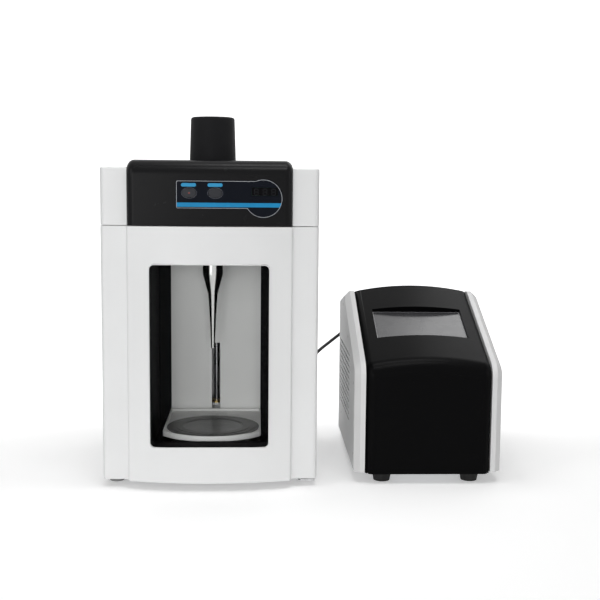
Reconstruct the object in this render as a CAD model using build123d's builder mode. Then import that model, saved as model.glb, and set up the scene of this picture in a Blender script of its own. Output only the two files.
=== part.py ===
from build123d import *
import os
from math import cos, exp, log, radians, sin, tan

# A probe sonicator in millimetres: a sound enclosure with its converter and horn, and its generator.
# The zero point is on the ground under the middle of both housings, +Z up, with the doors' side towards -Y.

# Sound enclosure, driving dimensions
ENC_WIDTH = 320.0
ENC_DEPTH = 300.0
COLUMN_TOP = 476.5
SEAM_Z = 392.0
FOOT_HEIGHT = 12.0
SHELL_WALL = 2.5
CORNER_R = 7.0
COLUMN_WIDTH = 39.0
JAMB_Y = 24.0
JAMB_MARGIN = 48.0
JAMB_LOW = 22.0
JAMB_HIGH = 374.0
ENC_FOOT_R = 11.0
ENC_FOOT_X = 144.0
ENC_FOOT_Y = (39.0, 268.0)
PAN_RIM_H = 18.0
REAR_T = 1.5
REAR_HALF = 124.0
REAR_LOW = 36.0
REAR_HIGH = 364.0
REAR_LAP = 8.0
VENT_W = 60.0
VENT_H = 3.0
VENT_X = 60.0
VENT_Z = (290.0, 299.0, 308.0, 317.0, 326.0)
ENC_SOCKET = (92.0, 120.0)

# Door
DOOR_BACK = 18.0
DOOR_WALL = 3.0
DOOR_STEP = 11.0
DOOR_BOW = 26.0
SEAM_GAP = 1.0
WINDOW_HALF = 88.0
WINDOW_LOW = 65.0
WINDOW_HIGH = 337.0
WINDOW_R = 8.0
PANE_T = 4.0
PANE_LAP = 5.0
DOOR_PLATE_T = 2.5
PIVOT_INSET = 8.0
PIVOT_PIN_R = 3.0
PIVOT_BUSH_R = 6.0
BRACKET_T = 3.0
GASKET_H = 3.2

# Top cover and control panel
HOOD_FRONT = 13.0
HOOD_TOP = 487.0
HOOD_WALL = 3.0
HOOD_SIDE_R = 11.0
HOOD_FRONT_R = 22.0
PANEL_T = 0.8
PANEL_LEFT = -49.0
PANEL_LOW = 416.4
PANEL_HIGH = 458.0
DIAL_X = 77.7
DIAL_Z = 432.0
DIAL_R = 28.4
BUTTON_X = (-29.4, 8.3)
BUTTON_Z = 439.4
BUTTON_W = 20.0
BUTTON_H = 13.6
BUTTON_PROUD = 0.9
BUTTON_TRAVEL = 0.6
READOUT_X = 80.0
READOUT_Z = 442.0
READOUT_W = 38.0
READOUT_H = 12.0

# Chamber
CHAMBER_HALF = 96.0
CHAMBER_FLOOR = 38.0
CHAMBER_TOP = 360.0
CHAMBER_BACK = 225.5
LINER_WALL = 2.5
FLOOR_T = 2.5
FLANGE_LAP = 20.0
FLANGE_LOW = 18.0
FLANGE_RISE = 15.0
BACK_PANEL_HALF = 75.5
BACK_PANEL_T = 3.5
SLOT_HALF = 7.0
SLOT_LOW = 40.0
SLOT_HIGH = 184.0

# Converter and horn
HORN_Y = 100.0
CONVERTER_R = 35.5
CONVERTER_TOP_R = 33.5
CONVERTER_TOP = 553.9
CONVERTER_WALL = 2.5
CONVERTER_EDGE_R = 4.0
CONVERTER_SEAT_Z = 404.0
HORN_R = 16.0
HORN_BODY_LOW = 312.0
HORN_NECK_R = 7.5
HORN_NECK_Z = 280.0
HORN_TIP_R = 3.0
HORN_TIP_Z = 194.6
HORN_TOP_Z = 430.0
NODE_Z = 438.0
RING_R = 25.0
RING_T = 6.0
RING_COUNT = 4
RING_BORE_R = 7.0
ELECTRODE_T = 0.5
BACK_MASS_H = 36.0

# Sample platform and its lift
TRAY_HALF = 76.0
TRAY_TOP = 67.0
TRAY_T = 4.0
TRAY_RIM_W = 2.2
TRAY_RIM_H = 4.2
TRAY_BACK = 218.0
TRAY_FRONT_SIDE = 60.0
TRAY_FRONT_MIDDLE = 22.0
DISC_Y = 104.0
DISC_R = 73.0
DISC_T = 2.6
INSERT_R = 47.5
ARM_HALF = 5.0
ARM_DROP = 14.0
ROD_R = 4.0
ROD_SPACING = 64.0
LIFT_Y = 252.0
SCREW_R = 4.0
SCREW_TOP = 186.0
LIFT_PLATE_Z = 205.0
CARRIAGE_W = 88.0
CARRIAGE_H = 28.0
CARRIAGE_D = 32.0
MOTOR_SIZE = 42.0
MOTOR_H = 40.0

# Generator, driving dimensions, from its own zero: middle of its width, front of its cover
GAP = 58.0
GEN_SETBACK = 10.0
GEN_WIDTH = 226.0
GEN_DEPTH = 318.0
SIDE_T = 16.5
SIDE_WALL = 2.5
SIDE_LOW = 17.0
SIDE_CHAMFER = 9.0
KNEE_Z = 177.5
RIDGE_Y = 220.0
RIDGE_Z = 272.0
REAR_TOP_Z = 250.0
ARCH = 10.5
COVER_WALL = 3.0
COVER_LOW = 15.0
COVER_CORNER_R = 13.0
KNEE_R = 26.0
GEN_FOOT_H = 16.0
GEN_FOOT_R = 12.5
GEN_FOOT_X = 68.0
GEN_FOOT_Y = (26.0, 288.0)
CHASSIS_T = 2.0
CHASSIS_RIM_H = 22.0
REAR_PLATE_Y = 310.0
SCREEN_W = 145.0
SCREEN_L = 89.0
SCREEN_Y = 117.0
SCREEN_DROP = 0.5
GLASS_T = 3.0
LOUVRE_COUNT = 12
LOUVRE_PITCH = 9.5
LOUVRE_LOW = 76.0
LOUVRE_H = 3.0
LOUVRE_FRONT = 104.0
LOUVRE_BACK = 292.0
FAN_SIZE = 60.0
FAN_DEPTH = 15.0
FAN_BORE_R = 28.5
FAN_X = 40.0
FAN_Z = 150.0
ROTOR_R = 27.0
BLADE_COUNT = 7

# Cable
CABLE_R = 3.0
PLUG_R = 8.0
SOCKET_BODY_R = 9.3

# Screw heads
SCREW_HEAD_R = 2.8
SCREW_HEAD_H = 1.4
SCREW_SLOT = (3.4, 0.8)
SCREW_SIDES = 16
SCREW_INSET = 5.5

# Named clearances
FIT = 0.3
PIN_FIT = 0.05
SLIDE_FIT = 0.25

# Where each housing's own zero stands
OVERALL_WIDTH = ENC_WIDTH + GAP + GEN_WIDTH
MIDDLE_Y = (GEN_SETBACK + GEN_DEPTH - DOOR_BOW) / 2
ENC = Vector(ENC_WIDTH / 2 - OVERALL_WIDTH / 2, -MIDDLE_Y, 0)
GEN = Vector(OVERALL_WIDTH / 2 - GEN_WIDTH / 2, GEN_SETBACK - MIDDLE_Y, 0)

# Sizes that follow
ENC_HALF = ENC_WIDTH / 2
HOOD_HALF = ENC_HALF - COLUMN_WIDTH
GEN_HALF = GEN_WIDTH / 2
COVER_HALF = GEN_HALF - SIDE_T
PIVOT_X = ENC_HALF - PIVOT_INSET
PIVOT_Y = PIVOT_INSET
DOOR_LOW = FOOT_HEIGHT
DOOR_HIGH = SEAM_Z - SEAM_GAP
PLATE_Y = DOOR_BACK - DOOR_PLATE_T
PANE_Y = PLATE_Y - PANE_T
SLOPE = (RIDGE_Z - KNEE_Z) / RIDGE_Y

os.makedirs("parts", exist_ok=True)


def level(home, z):
    """A horizontal sketch plane at height z, in a housing's own x and y."""
    return Plane(home + Vector(0, 0, z))


def facing(home, y):
    """An upright sketch plane at depth y, seen from the front; a positive extrusion comes forward."""
    return Plane(home + Vector(0, y, 0), x_dir=(1, 0, 0), z_dir=(0, -1, 0))


def across(home, x):
    """An upright sketch plane at x, seen from the right; a positive extrusion goes towards +X."""
    return Plane(home + Vector(x, 0, 0), x_dir=(0, 1, 0), z_dir=(1, 0, 0))


def keep(piece, name):
    """Labels a finished piece and writes it."""
    piece.part.label = name
    export_step(piece.part, f"parts/{name}.step")


def keep_together(name, *pieces):
    """Writes several pieces of one body as separate solids under one name."""
    group = Compound([solid for piece in pieces for solid in piece.part.solids()])
    group.label = name
    export_step(group, f"parts/{name}.step")


def slab(home, x0, x1, y0, y1, z0, z1, mode=Mode.ADD):
    """A block between two corners, for the part that is being built."""
    with BuildSketch(level(home, z0)) as block:
        with Locations(((x0 + x1) / 2, (y0 + y1) / 2)):
            Rectangle(x1 - x0, y1 - y0)
    extrude(block.sketch, amount=z1 - z0, mode=mode)


def turned(home, x, y, points, mode=Mode.ADD):
    """A turned solid about the upright axis at x, y, from (radius, height) points."""
    with BuildSketch(facing(home + Vector(x, 0, 0), y)) as profile:
        with BuildLine():
            Polyline(*points, close=True)
        make_face()
    revolve(profile.sketch, axis=Axis(home + Vector(x, y, 0), (0, 0, 1)), mode=mode)


# Sound enclosure: feet, pan and shell

with BuildPart() as enclosure_feet:
    with BuildSketch(level(ENC, 0)):
        with Locations(*[(x, y) for x in (-ENC_FOOT_X, ENC_FOOT_X) for y in ENC_FOOT_Y]):
            Circle(ENC_FOOT_R)
    extrude(amount=FOOT_HEIGHT, taper=-8)
keep(enclosure_feet, "enclosure_feet")

PAN_HALF = ENC_HALF - SHELL_WALL - FIT
PAN_BACK = ENC_DEPTH - SHELL_WALL - FIT
with BuildPart() as base_pan:
    slab(ENC, -PAN_HALF, PAN_HALF, JAMB_Y + SHELL_WALL + FIT, PAN_BACK, FOOT_HEIGHT, FOOT_HEIGHT + PAN_RIM_H)
    fillet(base_pan.edges().filter_by(Axis.Z), CORNER_R - SHELL_WALL)
    opening = base_pan.faces().sort_by(Axis.Z)[-1]
    offset(amount=-SHELL_WALL, openings=opening)
keep(base_pan, "base_pan")

with BuildPart() as enclosure_shell:
    slab(ENC, -ENC_HALF, ENC_HALF, 0, ENC_DEPTH, FOOT_HEIGHT, COLUMN_TOP)
    fillet(enclosure_shell.edges().filter_by(Axis.Z), CORNER_R)
    fillet(enclosure_shell.edges().group_by(Axis.Z)[-1], 3)
    inner_half = ENC_HALF - SHELL_WALL
    inner_back = ENC_DEPTH - SHELL_WALL
    slab(ENC, -inner_half, inner_half, JAMB_Y + SHELL_WALL, inner_back, FOOT_HEIGHT, SEAM_Z, Mode.SUBTRACT)
    for end in (-1, 1):
        inside = sorted((end * (HOOD_HALF + SHELL_WALL), end * inner_half))
        slab(ENC, *inside, SHELL_WALL, inner_back, SEAM_Z - 1, COLUMN_TOP - SHELL_WALL, Mode.SUBTRACT)
    slab(ENC, -HOOD_HALF, HOOD_HALF, -1, ENC_DEPTH + 1, SEAM_Z, COLUMN_TOP + 1, Mode.SUBTRACT)
    slab(ENC, -ENC_HALF - 1, ENC_HALF + 1, -1, JAMB_Y, FOOT_HEIGHT - 1, SEAM_Z, Mode.SUBTRACT)
    jamb_half = ENC_HALF - JAMB_MARGIN
    slab(ENC, -jamb_half, jamb_half, JAMB_Y - 1, JAMB_Y + SHELL_WALL + 1, JAMB_LOW, JAMB_HIGH, Mode.SUBTRACT)
    rear_half = REAR_HALF - REAR_LAP
    rear_span = (REAR_LOW + REAR_LAP, REAR_HIGH - REAR_LAP)
    slab(ENC, -rear_half, rear_half, inner_back - 1, ENC_DEPTH + 1, *rear_span, Mode.SUBTRACT)
keep(enclosure_shell, "enclosure_shell")

with BuildPart() as rear_panel:
    slab(ENC, -REAR_HALF, REAR_HALF, ENC_DEPTH, ENC_DEPTH + REAR_T, REAR_LOW, REAR_HIGH)
    fillet(rear_panel.edges().filter_by(Axis.Y), 4)
    with BuildSketch(facing(ENC, ENC_DEPTH + 2)):
        with Locations(ENC_SOCKET):
            Circle(SOCKET_BODY_R + FIT)
    extrude(amount=3, mode=Mode.SUBTRACT)
    with BuildSketch(facing(ENC, ENC_DEPTH + 2)):
        with Locations(*[(x, z) for x in (-VENT_X, VENT_X) for z in VENT_Z]):
            SlotOverall(VENT_W, VENT_H)
    extrude(amount=3, mode=Mode.SUBTRACT)
keep(rear_panel, "rear_panel")

with BuildPart() as rear_panel_screws:
    with BuildSketch(facing(ENC, ENC_DEPTH + REAR_T)):
        for x in (SCREW_INSET - REAR_HALF, REAR_HALF - SCREW_INSET):
            for z in (REAR_LOW + SCREW_INSET, (REAR_LOW + REAR_HIGH) / 2, REAR_HIGH - SCREW_INSET):
                with Locations((x, z)):
                    RegularPolygon(SCREW_HEAD_R, SCREW_SIDES)
                    Rectangle(*SCREW_SLOT, mode=Mode.SUBTRACT)
    extrude(amount=-SCREW_HEAD_H)

# Chamber: liner with its front flange, floor and back panel

LINER_HALF = CHAMBER_HALF + LINER_WALL
LINER_LOW = CHAMBER_FLOOR - FLOOR_T - LINER_WALL
LINER_FRONT = DOOR_BACK + GASKET_H + FIT
with BuildPart() as chamber_liner:
    liner_high = CHAMBER_TOP + LINER_WALL
    slab(ENC, -LINER_HALF, LINER_HALF, LINER_FRONT, CHAMBER_BACK + LINER_WALL, LINER_LOW, liner_high)
    reach = CHAMBER_HALF + FLANGE_LAP
    slab(ENC, -reach, reach, LINER_FRONT, JAMB_Y, FLANGE_LOW, liner_high + FLANGE_RISE)
    inside_low = CHAMBER_FLOOR - FLOOR_T
    inside = (-CHAMBER_HALF, CHAMBER_HALF, LINER_FRONT - 1, CHAMBER_BACK, inside_low, CHAMBER_TOP)
    slab(ENC, *inside, Mode.SUBTRACT)
    slab(ENC, -SLOT_HALF, SLOT_HALF, CHAMBER_BACK - 1, CHAMBER_BACK + 5, SLOT_LOW, SLOT_HIGH, Mode.SUBTRACT)
    with BuildSketch(level(ENC, CHAMBER_TOP - 1)):
        with Locations((0, HORN_Y)):
            Circle(HORN_R + 4)
    extrude(amount=LINER_WALL + 2, mode=Mode.SUBTRACT)
keep(chamber_liner, "chamber_liner")

with BuildPart() as chamber_floor:
    edge = CHAMBER_HALF - FIT
    slab(ENC, -edge, edge, LINER_FRONT, CHAMBER_BACK - FIT, CHAMBER_FLOOR - FLOOR_T, CHAMBER_FLOOR)
keep(chamber_floor, "chamber_floor")

with BuildPart() as back_panel:
    panel_front = CHAMBER_BACK - BACK_PANEL_T
    slab(ENC, -BACK_PANEL_HALF, BACK_PANEL_HALF, panel_front, CHAMBER_BACK, CHAMBER_FLOOR, CHAMBER_TOP - 4)
    slab(ENC, -SLOT_HALF, SLOT_HALF, panel_front - 1, CHAMBER_BACK + 1, SLOT_LOW, SLOT_HIGH, Mode.SUBTRACT)
keep(back_panel, "back_panel")

# Top cover with its control panel



def hood_form(inset):
    """The top cover's outer or inner form, moved inwards by inset, round over its front and sides."""
    half = HOOD_HALF - FIT - inset
    back = ENC_DEPTH - inset
    with BuildPart() as form:
        slab(ENC, -half, half, inset - HOOD_FRONT, back, SEAM_Z, HOOD_TOP - inset)
        front_top = form.faces().sort_by(Axis.Y)[0].edges().sort_by(Axis.Z)[-1]
        fillet(front_top, HOOD_FRONT_R - inset)
        sides = form.faces().sort_by(Axis.X)
        rims = sides[0].edges() + sides[-1].edges()
        rims = rims.filter_by(lambda edge: edge.center().Z > SEAM_Z + 1)
        fillet(rims.filter_by(lambda edge: edge.center().Y < ENC.Y + back - 1), HOOD_SIDE_R - inset)
    return form.part


with BuildPart() as top_cover:
    add(hood_form(0))
    add(hood_form(HOOD_WALL), mode=Mode.SUBTRACT)
    with BuildSketch(level(ENC, HOOD_TOP + 1)):
        with Locations((0, HORN_Y)):
            Circle(CONVERTER_R + 1)
    extrude(amount=-HOOD_WALL - 2, mode=Mode.SUBTRACT)
    with BuildSketch(facing(ENC, -HOOD_FRONT + HOOD_WALL + 1)):
        with Locations(*[(x, BUTTON_Z) for x in BUTTON_X]):
            SlotOverall(BUTTON_W + 2 * SLIDE_FIT, BUTTON_H + 2 * SLIDE_FIT)
        with Locations((READOUT_X, READOUT_Z)):
            Rectangle(READOUT_W, READOUT_H)
    extrude(amount=HOOD_WALL + 2, mode=Mode.SUBTRACT)
keep(top_cover, "top_cover")

with BuildPart() as control_panel:
    with BuildSketch(facing(ENC, -HOOD_FRONT)):
        with Locations(((PANEL_LEFT + DIAL_X) / 2, (PANEL_LOW + PANEL_HIGH) / 2)):
            RectangleRounded(DIAL_X - PANEL_LEFT, PANEL_HIGH - PANEL_LOW, 4)
        with Locations((DIAL_X - 10, (PANEL_LOW + PANEL_HIGH) / 2)):
            Rectangle(20, PANEL_HIGH - PANEL_LOW)
        with Locations((DIAL_X, DIAL_Z)):
            Circle(DIAL_R)
        with Locations(*[(x, BUTTON_Z) for x in BUTTON_X]):
            SlotOverall(BUTTON_W + 2 * SLIDE_FIT, BUTTON_H + 2 * SLIDE_FIT, mode=Mode.SUBTRACT)
        with Locations((READOUT_X, READOUT_Z)):
            Rectangle(READOUT_W, READOUT_H, mode=Mode.SUBTRACT)
    extrude(amount=PANEL_T)
keep(control_panel, "control_panel")

with BuildPart() as number_display:
    face_y = -HOOD_FRONT - PANEL_T / 2
    with BuildSketch(facing(ENC, face_y + 10)):
        with Locations((READOUT_X, READOUT_Z)):
            Rectangle(READOUT_W - 2 * FIT, READOUT_H - 2 * FIT)
    extrude(amount=10)
keep(number_display, "number_display")

BOARD_Y = -3.0
BOARD_Z = 436.0
BOARD_H = 44.0
BOARD_T = 1.6
BOARD_HOLES = (140.0, 36.0)
BOARD_HOLE_R = 1.6
for side, x in zip(("up", "down"), BUTTON_X):
    with BuildPart() as button:
        front_y = -HOOD_FRONT - PANEL_T - BUTTON_PROUD
        with BuildSketch(facing(ENC, front_y)):
            with Locations((x, BUTTON_Z)):
                SlotOverall(BUTTON_W, BUTTON_H)
        extrude(amount=-(BUTTON_PROUD + PANEL_T + HOOD_WALL + 1))
        fillet(button.faces().sort_by(Axis.Y)[0].edges(), 0.6)
        with BuildSketch(facing(ENC, -HOOD_FRONT + HOOD_WALL + FIT)):
            with Locations((x, BUTTON_Z)):
                SlotOverall(BUTTON_W + 3, BUTTON_H + 3)
        extrude(amount=-1)
    keep(button, f"{side}_button")

with BuildPart() as control_board:
    board_x = (PANEL_LEFT + DIAL_X + DIAL_R) / 2
    with BuildSketch(facing(ENC, BOARD_Y + BOARD_T)):
        with Locations((board_x, BOARD_Z)):
            Rectangle(DIAL_X + DIAL_R - PANEL_LEFT, BOARD_H)
            with GridLocations(*BOARD_HOLES, 2, 2):
                Circle(BOARD_HOLE_R, mode=Mode.SUBTRACT)
    extrude(amount=BOARD_T)
    with BuildSketch(facing(ENC, BOARD_Y)):
        with Locations(*[(x, BUTTON_Z) for x in BUTTON_X]):
            Rectangle(6, 6)
    extrude(amount=HOOD_FRONT - HOOD_WALL - 1 - BUTTON_TRAVEL - 2 * FIT + BOARD_Y)
    with BuildSketch(facing(ENC, BOARD_Y + BOARD_T)):
        with Locations((board_x, BOARD_Z - BOARD_H / 4)):
            Rectangle(26, 8)
    extrude(amount=-7)
keep(control_board, "control_board")

with BuildPart() as board_standoffs:
    with BuildSketch(facing(ENC, BOARD_Y)):
        with Locations((board_x, BOARD_Z)):
            with GridLocations(*BOARD_HOLES, 2, 2):
                RegularPolygon(BOARD_HOLE_R + 1, 6)
    extrude(amount=HOOD_FRONT - HOOD_WALL + BOARD_Y)

# Door


def door_outline(inset):
    """The door's outline seen from above, moved inwards by inset."""
    half = ENC_HALF - inset
    shoulder = HOOD_HALF - inset
    step = inset - DOOR_STEP
    with BuildSketch() as outline:
        with BuildLine():
            Polyline((-shoulder, step), (-shoulder, inset), (-half, inset), (-half, DOOR_BACK))
            Line((-half, DOOR_BACK), (half, DOOR_BACK))
            Polyline((half, DOOR_BACK), (half, inset), (shoulder, inset), (shoulder, step))
            ThreePointArc((shoulder, step), (0, inset - DOOR_BOW), (-shoulder, step))
        make_face()
    return outline.sketch


with BuildPart() as door_shell:
    with BuildSketch(level(ENC, DOOR_LOW)):
        add(door_outline(0))
    extrude(amount=DOOR_HIGH - DOOR_LOW)
    uprights = door_shell.edges().filter_by(Axis.Z)
    fillet(uprights.group_by(Axis.Y)[0], 4)
    flank = uprights.filter_by_position(Axis.Y, ENC.Y - 1, ENC.Y + 1).sort_by(Axis.X)
    fillet([flank[0], flank[-1]], CORNER_R - 1)
    with BuildSketch(level(ENC, DOOR_LOW + DOOR_WALL)):
        add(door_outline(DOOR_WALL))
    extrude(amount=DOOR_HIGH - DOOR_LOW - 2 * DOOR_WALL, mode=Mode.SUBTRACT)
    with BuildSketch(facing(ENC, DOOR_BACK)):
        with Locations((0, (WINDOW_LOW + WINDOW_HIGH) / 2)):
            RectangleRounded(2 * WINDOW_HALF, WINDOW_HIGH - WINDOW_LOW, WINDOW_R)
    extrude(amount=DOOR_BACK + DOOR_BOW + 1, mode=Mode.SUBTRACT)
    with BuildSketch(level(ENC, DOOR_LOW - 1)):
        with Locations((PIVOT_X, PIVOT_Y)):
            Circle(PIVOT_BUSH_R)
    extrude(amount=DOOR_HIGH - DOOR_LOW + 2, mode=Mode.SUBTRACT)
keep(door_shell, "door_shell")

MIDDLE_WINDOW_Z = (WINDOW_LOW + WINDOW_HIGH) / 2
WINDOW_HEIGHT = WINDOW_HIGH - WINDOW_LOW
FRAME_INSET = DOOR_WALL + FIT
with BuildPart() as window_frame:
    with BuildSketch(facing(ENC, PANE_Y)):
        with Locations((0, MIDDLE_WINDOW_Z)):
            RectangleRounded(2 * (WINDOW_HALF + PANE_LAP), WINDOW_HEIGHT + 2 * PANE_LAP, WINDOW_R + PANE_LAP)
            RectangleRounded(2 * WINDOW_HALF, WINDOW_HEIGHT, WINDOW_R, mode=Mode.SUBTRACT)
    extrude(amount=PANE_Y + DOOR_BOW)
    with BuildSketch(level(ENC, DOOR_LOW)):
        add(door_outline(FRAME_INSET))
    extrude(amount=DOOR_HIGH - DOOR_LOW, mode=Mode.INTERSECT)
keep(window_frame, "window_frame")

with BuildPart() as door_window:
    with BuildSketch(facing(ENC, PLATE_Y)):
        with Locations((0, MIDDLE_WINDOW_Z)):
            RectangleRounded(2 * (WINDOW_HALF + PANE_LAP), WINDOW_HEIGHT + 2 * PANE_LAP, WINDOW_R + PANE_LAP)
    extrude(amount=PANE_T)
keep(door_window, "door_window")

PLATE_HALF = ENC_HALF - DOOR_WALL - FIT
PLATE_LOW = DOOR_LOW + DOOR_WALL + FIT
PLATE_HIGH = DOOR_HIGH - DOOR_WALL - FIT
STRIKE_X = -136.0
STRIKE_Z = 205.0
with BuildPart() as door_plate:
    slab(ENC, -PLATE_HALF, PLATE_HALF, PLATE_Y, DOOR_BACK, PLATE_LOW, PLATE_HIGH)
    with BuildSketch(facing(ENC, DOOR_BACK + 1)):
        with Locations((0, MIDDLE_WINDOW_Z)):
            RectangleRounded(2 * WINDOW_HALF, WINDOW_HEIGHT, WINDOW_R)
    extrude(amount=DOOR_PLATE_T + 2, mode=Mode.SUBTRACT)
    with BuildSketch(facing(ENC, DOOR_BACK + 1)):
        with Locations((STRIKE_X, STRIKE_Z)):
            Rectangle(20, 32)
    extrude(amount=2, mode=Mode.SUBTRACT)
    with BuildSketch(level(ENC, DOOR_LOW)):
        with Locations((PIVOT_X, PIVOT_Y)):
            Circle(PIVOT_BUSH_R + 3)
    extrude(amount=DOOR_HIGH - DOOR_LOW, mode=Mode.SUBTRACT)
keep(door_plate, "door_plate")

with BuildPart() as door_strike:
    with BuildSketch(facing(ENC, DOOR_BACK)):
        with Locations((STRIKE_X, STRIKE_Z)):
            Rectangle(20 - FIT, 32 - FIT)
    extrude(amount=1)
keep(door_strike, "door_strike")

with BuildPart() as door_magnet:
    with BuildSketch(facing(ENC, JAMB_Y)):
        with Locations((STRIKE_X, STRIKE_Z)):
            RectangleRounded(18, 30, 2)
    extrude(amount=JAMB_Y - DOOR_BACK - 0.8)
keep(door_magnet, "door_magnet")

with BuildPart() as door_gasket:
    gasket_z = (CHAMBER_FLOOR + CHAMBER_TOP) / 2
    with BuildSketch(facing(ENC, DOOR_BACK)):
        with Locations((0, gasket_z)):
            RectangleRounded(2 * CHAMBER_HALF + 26, CHAMBER_TOP - CHAMBER_FLOOR + 22, 12)
            RectangleRounded(2 * CHAMBER_HALF + 12, CHAMBER_TOP - CHAMBER_FLOOR + 8, 6, mode=Mode.SUBTRACT)
    extrude(amount=-GASKET_H)
keep(door_gasket, "door_gasket")

BUSH_LENGTH = 12.0
with BuildPart() as pivot_bushings:
    for low in (DOOR_LOW, DOOR_HIGH - BUSH_LENGTH):
        with BuildSketch(level(ENC, low)):
            with Locations((PIVOT_X, PIVOT_Y)):
                Circle(PIVOT_BUSH_R)
                Circle(PIVOT_PIN_R + PIN_FIT, mode=Mode.SUBTRACT)
        extrude(amount=BUSH_LENGTH)
keep(pivot_bushings, "pivot_bushings")

LOW_BRACKET_Z = DOOR_LOW - SEAM_GAP - BRACKET_T
with BuildPart() as hinge_brackets:
    bracket = (PIVOT_X - 16, ENC_HALF - SHELL_WALL)
    slab(ENC, *bracket, SHELL_WALL, JAMB_Y + 16, SEAM_Z, SEAM_Z + BRACKET_T)
    slab(ENC, *bracket, 1, JAMB_Y, LOW_BRACKET_Z, LOW_BRACKET_Z + BRACKET_T)
    slab(ENC, *bracket, JAMB_Y - 2.5, JAMB_Y, LOW_BRACKET_Z + BRACKET_T, LOW_BRACKET_Z + 28)
    with BuildSketch(level(ENC, 0)):
        with Locations((PIVOT_X, PIVOT_Y)):
            Circle(PIVOT_PIN_R)
    extrude(amount=SEAM_Z + 20, mode=Mode.SUBTRACT)

with BuildPart() as hinge_pins:
    for low, high in ((LOW_BRACKET_Z, DOOR_LOW + 10), (DOOR_HIGH - 10, SEAM_Z + BRACKET_T)):
        with BuildSketch(level(ENC, low)):
            with Locations((PIVOT_X, PIVOT_Y)):
                Circle(PIVOT_PIN_R)
        extrude(amount=high - low)
keep_together("hinge_brackets", hinge_brackets, hinge_pins)

# Converter and horn, all turned about the horn's axis

SEAT_TOP = CHAMBER_TOP + LINER_WALL
with BuildPart() as converter_seat:
    bore = CONVERTER_R + SLIDE_FIT
    turned(ENC, 0, HORN_Y, [
        (HORN_R + 6, SEAT_TOP), (bore + 14, SEAT_TOP), (bore + 14, SEAT_TOP + 5), (bore + 3, SEAT_TOP + 5),
        (bore + 3, 440), (bore, 440), (bore, CONVERTER_SEAT_Z), (28, CONVERTER_SEAT_Z), (28, SEAT_TOP + 5),
        (HORN_R + 6, SEAT_TOP + 5)])
keep(converter_seat, "converter_seat")

CAN_INNER = CONVERTER_R - CONVERTER_WALL
with BuildPart() as converter_housing:
    turned(ENC, 0, HORN_Y, [
        (0, CONVERTER_TOP), (CONVERTER_TOP_R, CONVERTER_TOP), (CONVERTER_R, HOOD_TOP + 3),
        (CONVERTER_R, CONVERTER_SEAT_Z), (CAN_INNER, CONVERTER_SEAT_Z), (CAN_INNER, HOOD_TOP),
        (CONVERTER_TOP_R - CONVERTER_WALL, CONVERTER_TOP - 3), (0, CONVERTER_TOP - 3)])
    fillet(converter_housing.edges().group_by(Axis.Z)[-1], CONVERTER_EDGE_R)
keep(converter_housing, "converter_housing")

SLEEVE_R = CAN_INNER - PIN_FIT
with BuildPart() as nodal_sleeve:
    turned(ENC, 0, HORN_Y, [
        (HORN_R + 3, CONVERTER_SEAT_Z), (SLEEVE_R, CONVERTER_SEAT_Z), (SLEEVE_R, NODE_Z), (29, NODE_Z),
        (29, CONVERTER_SEAT_Z + 4), (HORN_R + 3, CONVERTER_SEAT_Z + 4)])

STACK_Z = 458.0
STUD_R = 5.0
with BuildPart() as front_mass:
    turned(ENC, 0, HORN_Y, [
        (STUD_R + PIN_FIT, HORN_TOP_Z), (HORN_R, HORN_TOP_Z), (27, NODE_Z), (SLEEVE_R, NODE_Z),
        (SLEEVE_R, NODE_Z + 4), (27, NODE_Z + 4), (27, STACK_Z), (STUD_R + PIN_FIT, STACK_Z)])

with BuildPart() as piezo_rings:
    for k in range(RING_COUNT):
        ring_z = STACK_Z + k * RING_T
        ring_high = ring_z + RING_T - ELECTRODE_T
        turned(ENC, 0, HORN_Y, [
            (RING_BORE_R, ring_z), (RING_R, ring_z), (RING_R, ring_high), (RING_BORE_R, ring_high)])

with BuildPart() as electrodes:
    for k in range(RING_COUNT):
        plate_z = STACK_Z + (k + 1) * RING_T - ELECTRODE_T
        with BuildSketch(level(ENC, plate_z)):
            with Locations((0, HORN_Y)):
                Circle(RING_R)
                Circle(RING_BORE_R, mode=Mode.SUBTRACT)
            with Locations((RING_R + 1, HORN_Y)):
                Rectangle(8, 5)
        extrude(amount=ELECTRODE_T)
keep_together("piezo_stack", piezo_rings, electrodes)

BACK_MASS_Z = STACK_Z + RING_COUNT * RING_T
BOLT_TOP = BACK_MASS_Z + BACK_MASS_H
with BuildPart() as back_mass:
    turned(ENC, 0, HORN_Y, [
        (RING_BORE_R, BACK_MASS_Z), (RING_R, BACK_MASS_Z), (RING_R, BOLT_TOP), (RING_BORE_R, BOLT_TOP)])
    chamfer(back_mass.edges().group_by(Axis.Z)[-1].sort_by(SortBy.RADIUS)[-1], 2)
keep_together("converter_masses", front_mass, back_mass, nodal_sleeve)

with BuildPart() as preload_bolt:
    turned(ENC, 0, HORN_Y, [(0, STACK_Z - 9), (STUD_R, STACK_Z - 9), (STUD_R, BOLT_TOP), (0, BOLT_TOP)])
    with BuildSketch(level(ENC, BOLT_TOP)):
        with Locations((0, HORN_Y)):
            RegularPolygon(10, 6)
    extrude(amount=8)
    with BuildSketch(level(ENC, BOLT_TOP + 9)):
        with Locations((0, HORN_Y)):
            RegularPolygon(4, 6)
    extrude(amount=-6, mode=Mode.SUBTRACT)

with BuildPart() as horn_stud:
    turned(ENC, 0, HORN_Y, [
        (0, HORN_TOP_Z - 12), (STUD_R, HORN_TOP_Z - 12), (STUD_R, STACK_Z - 10), (0, STACK_Z - 10)])
keep_together("converter_bolts", preload_bolt, horn_stud)

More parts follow.
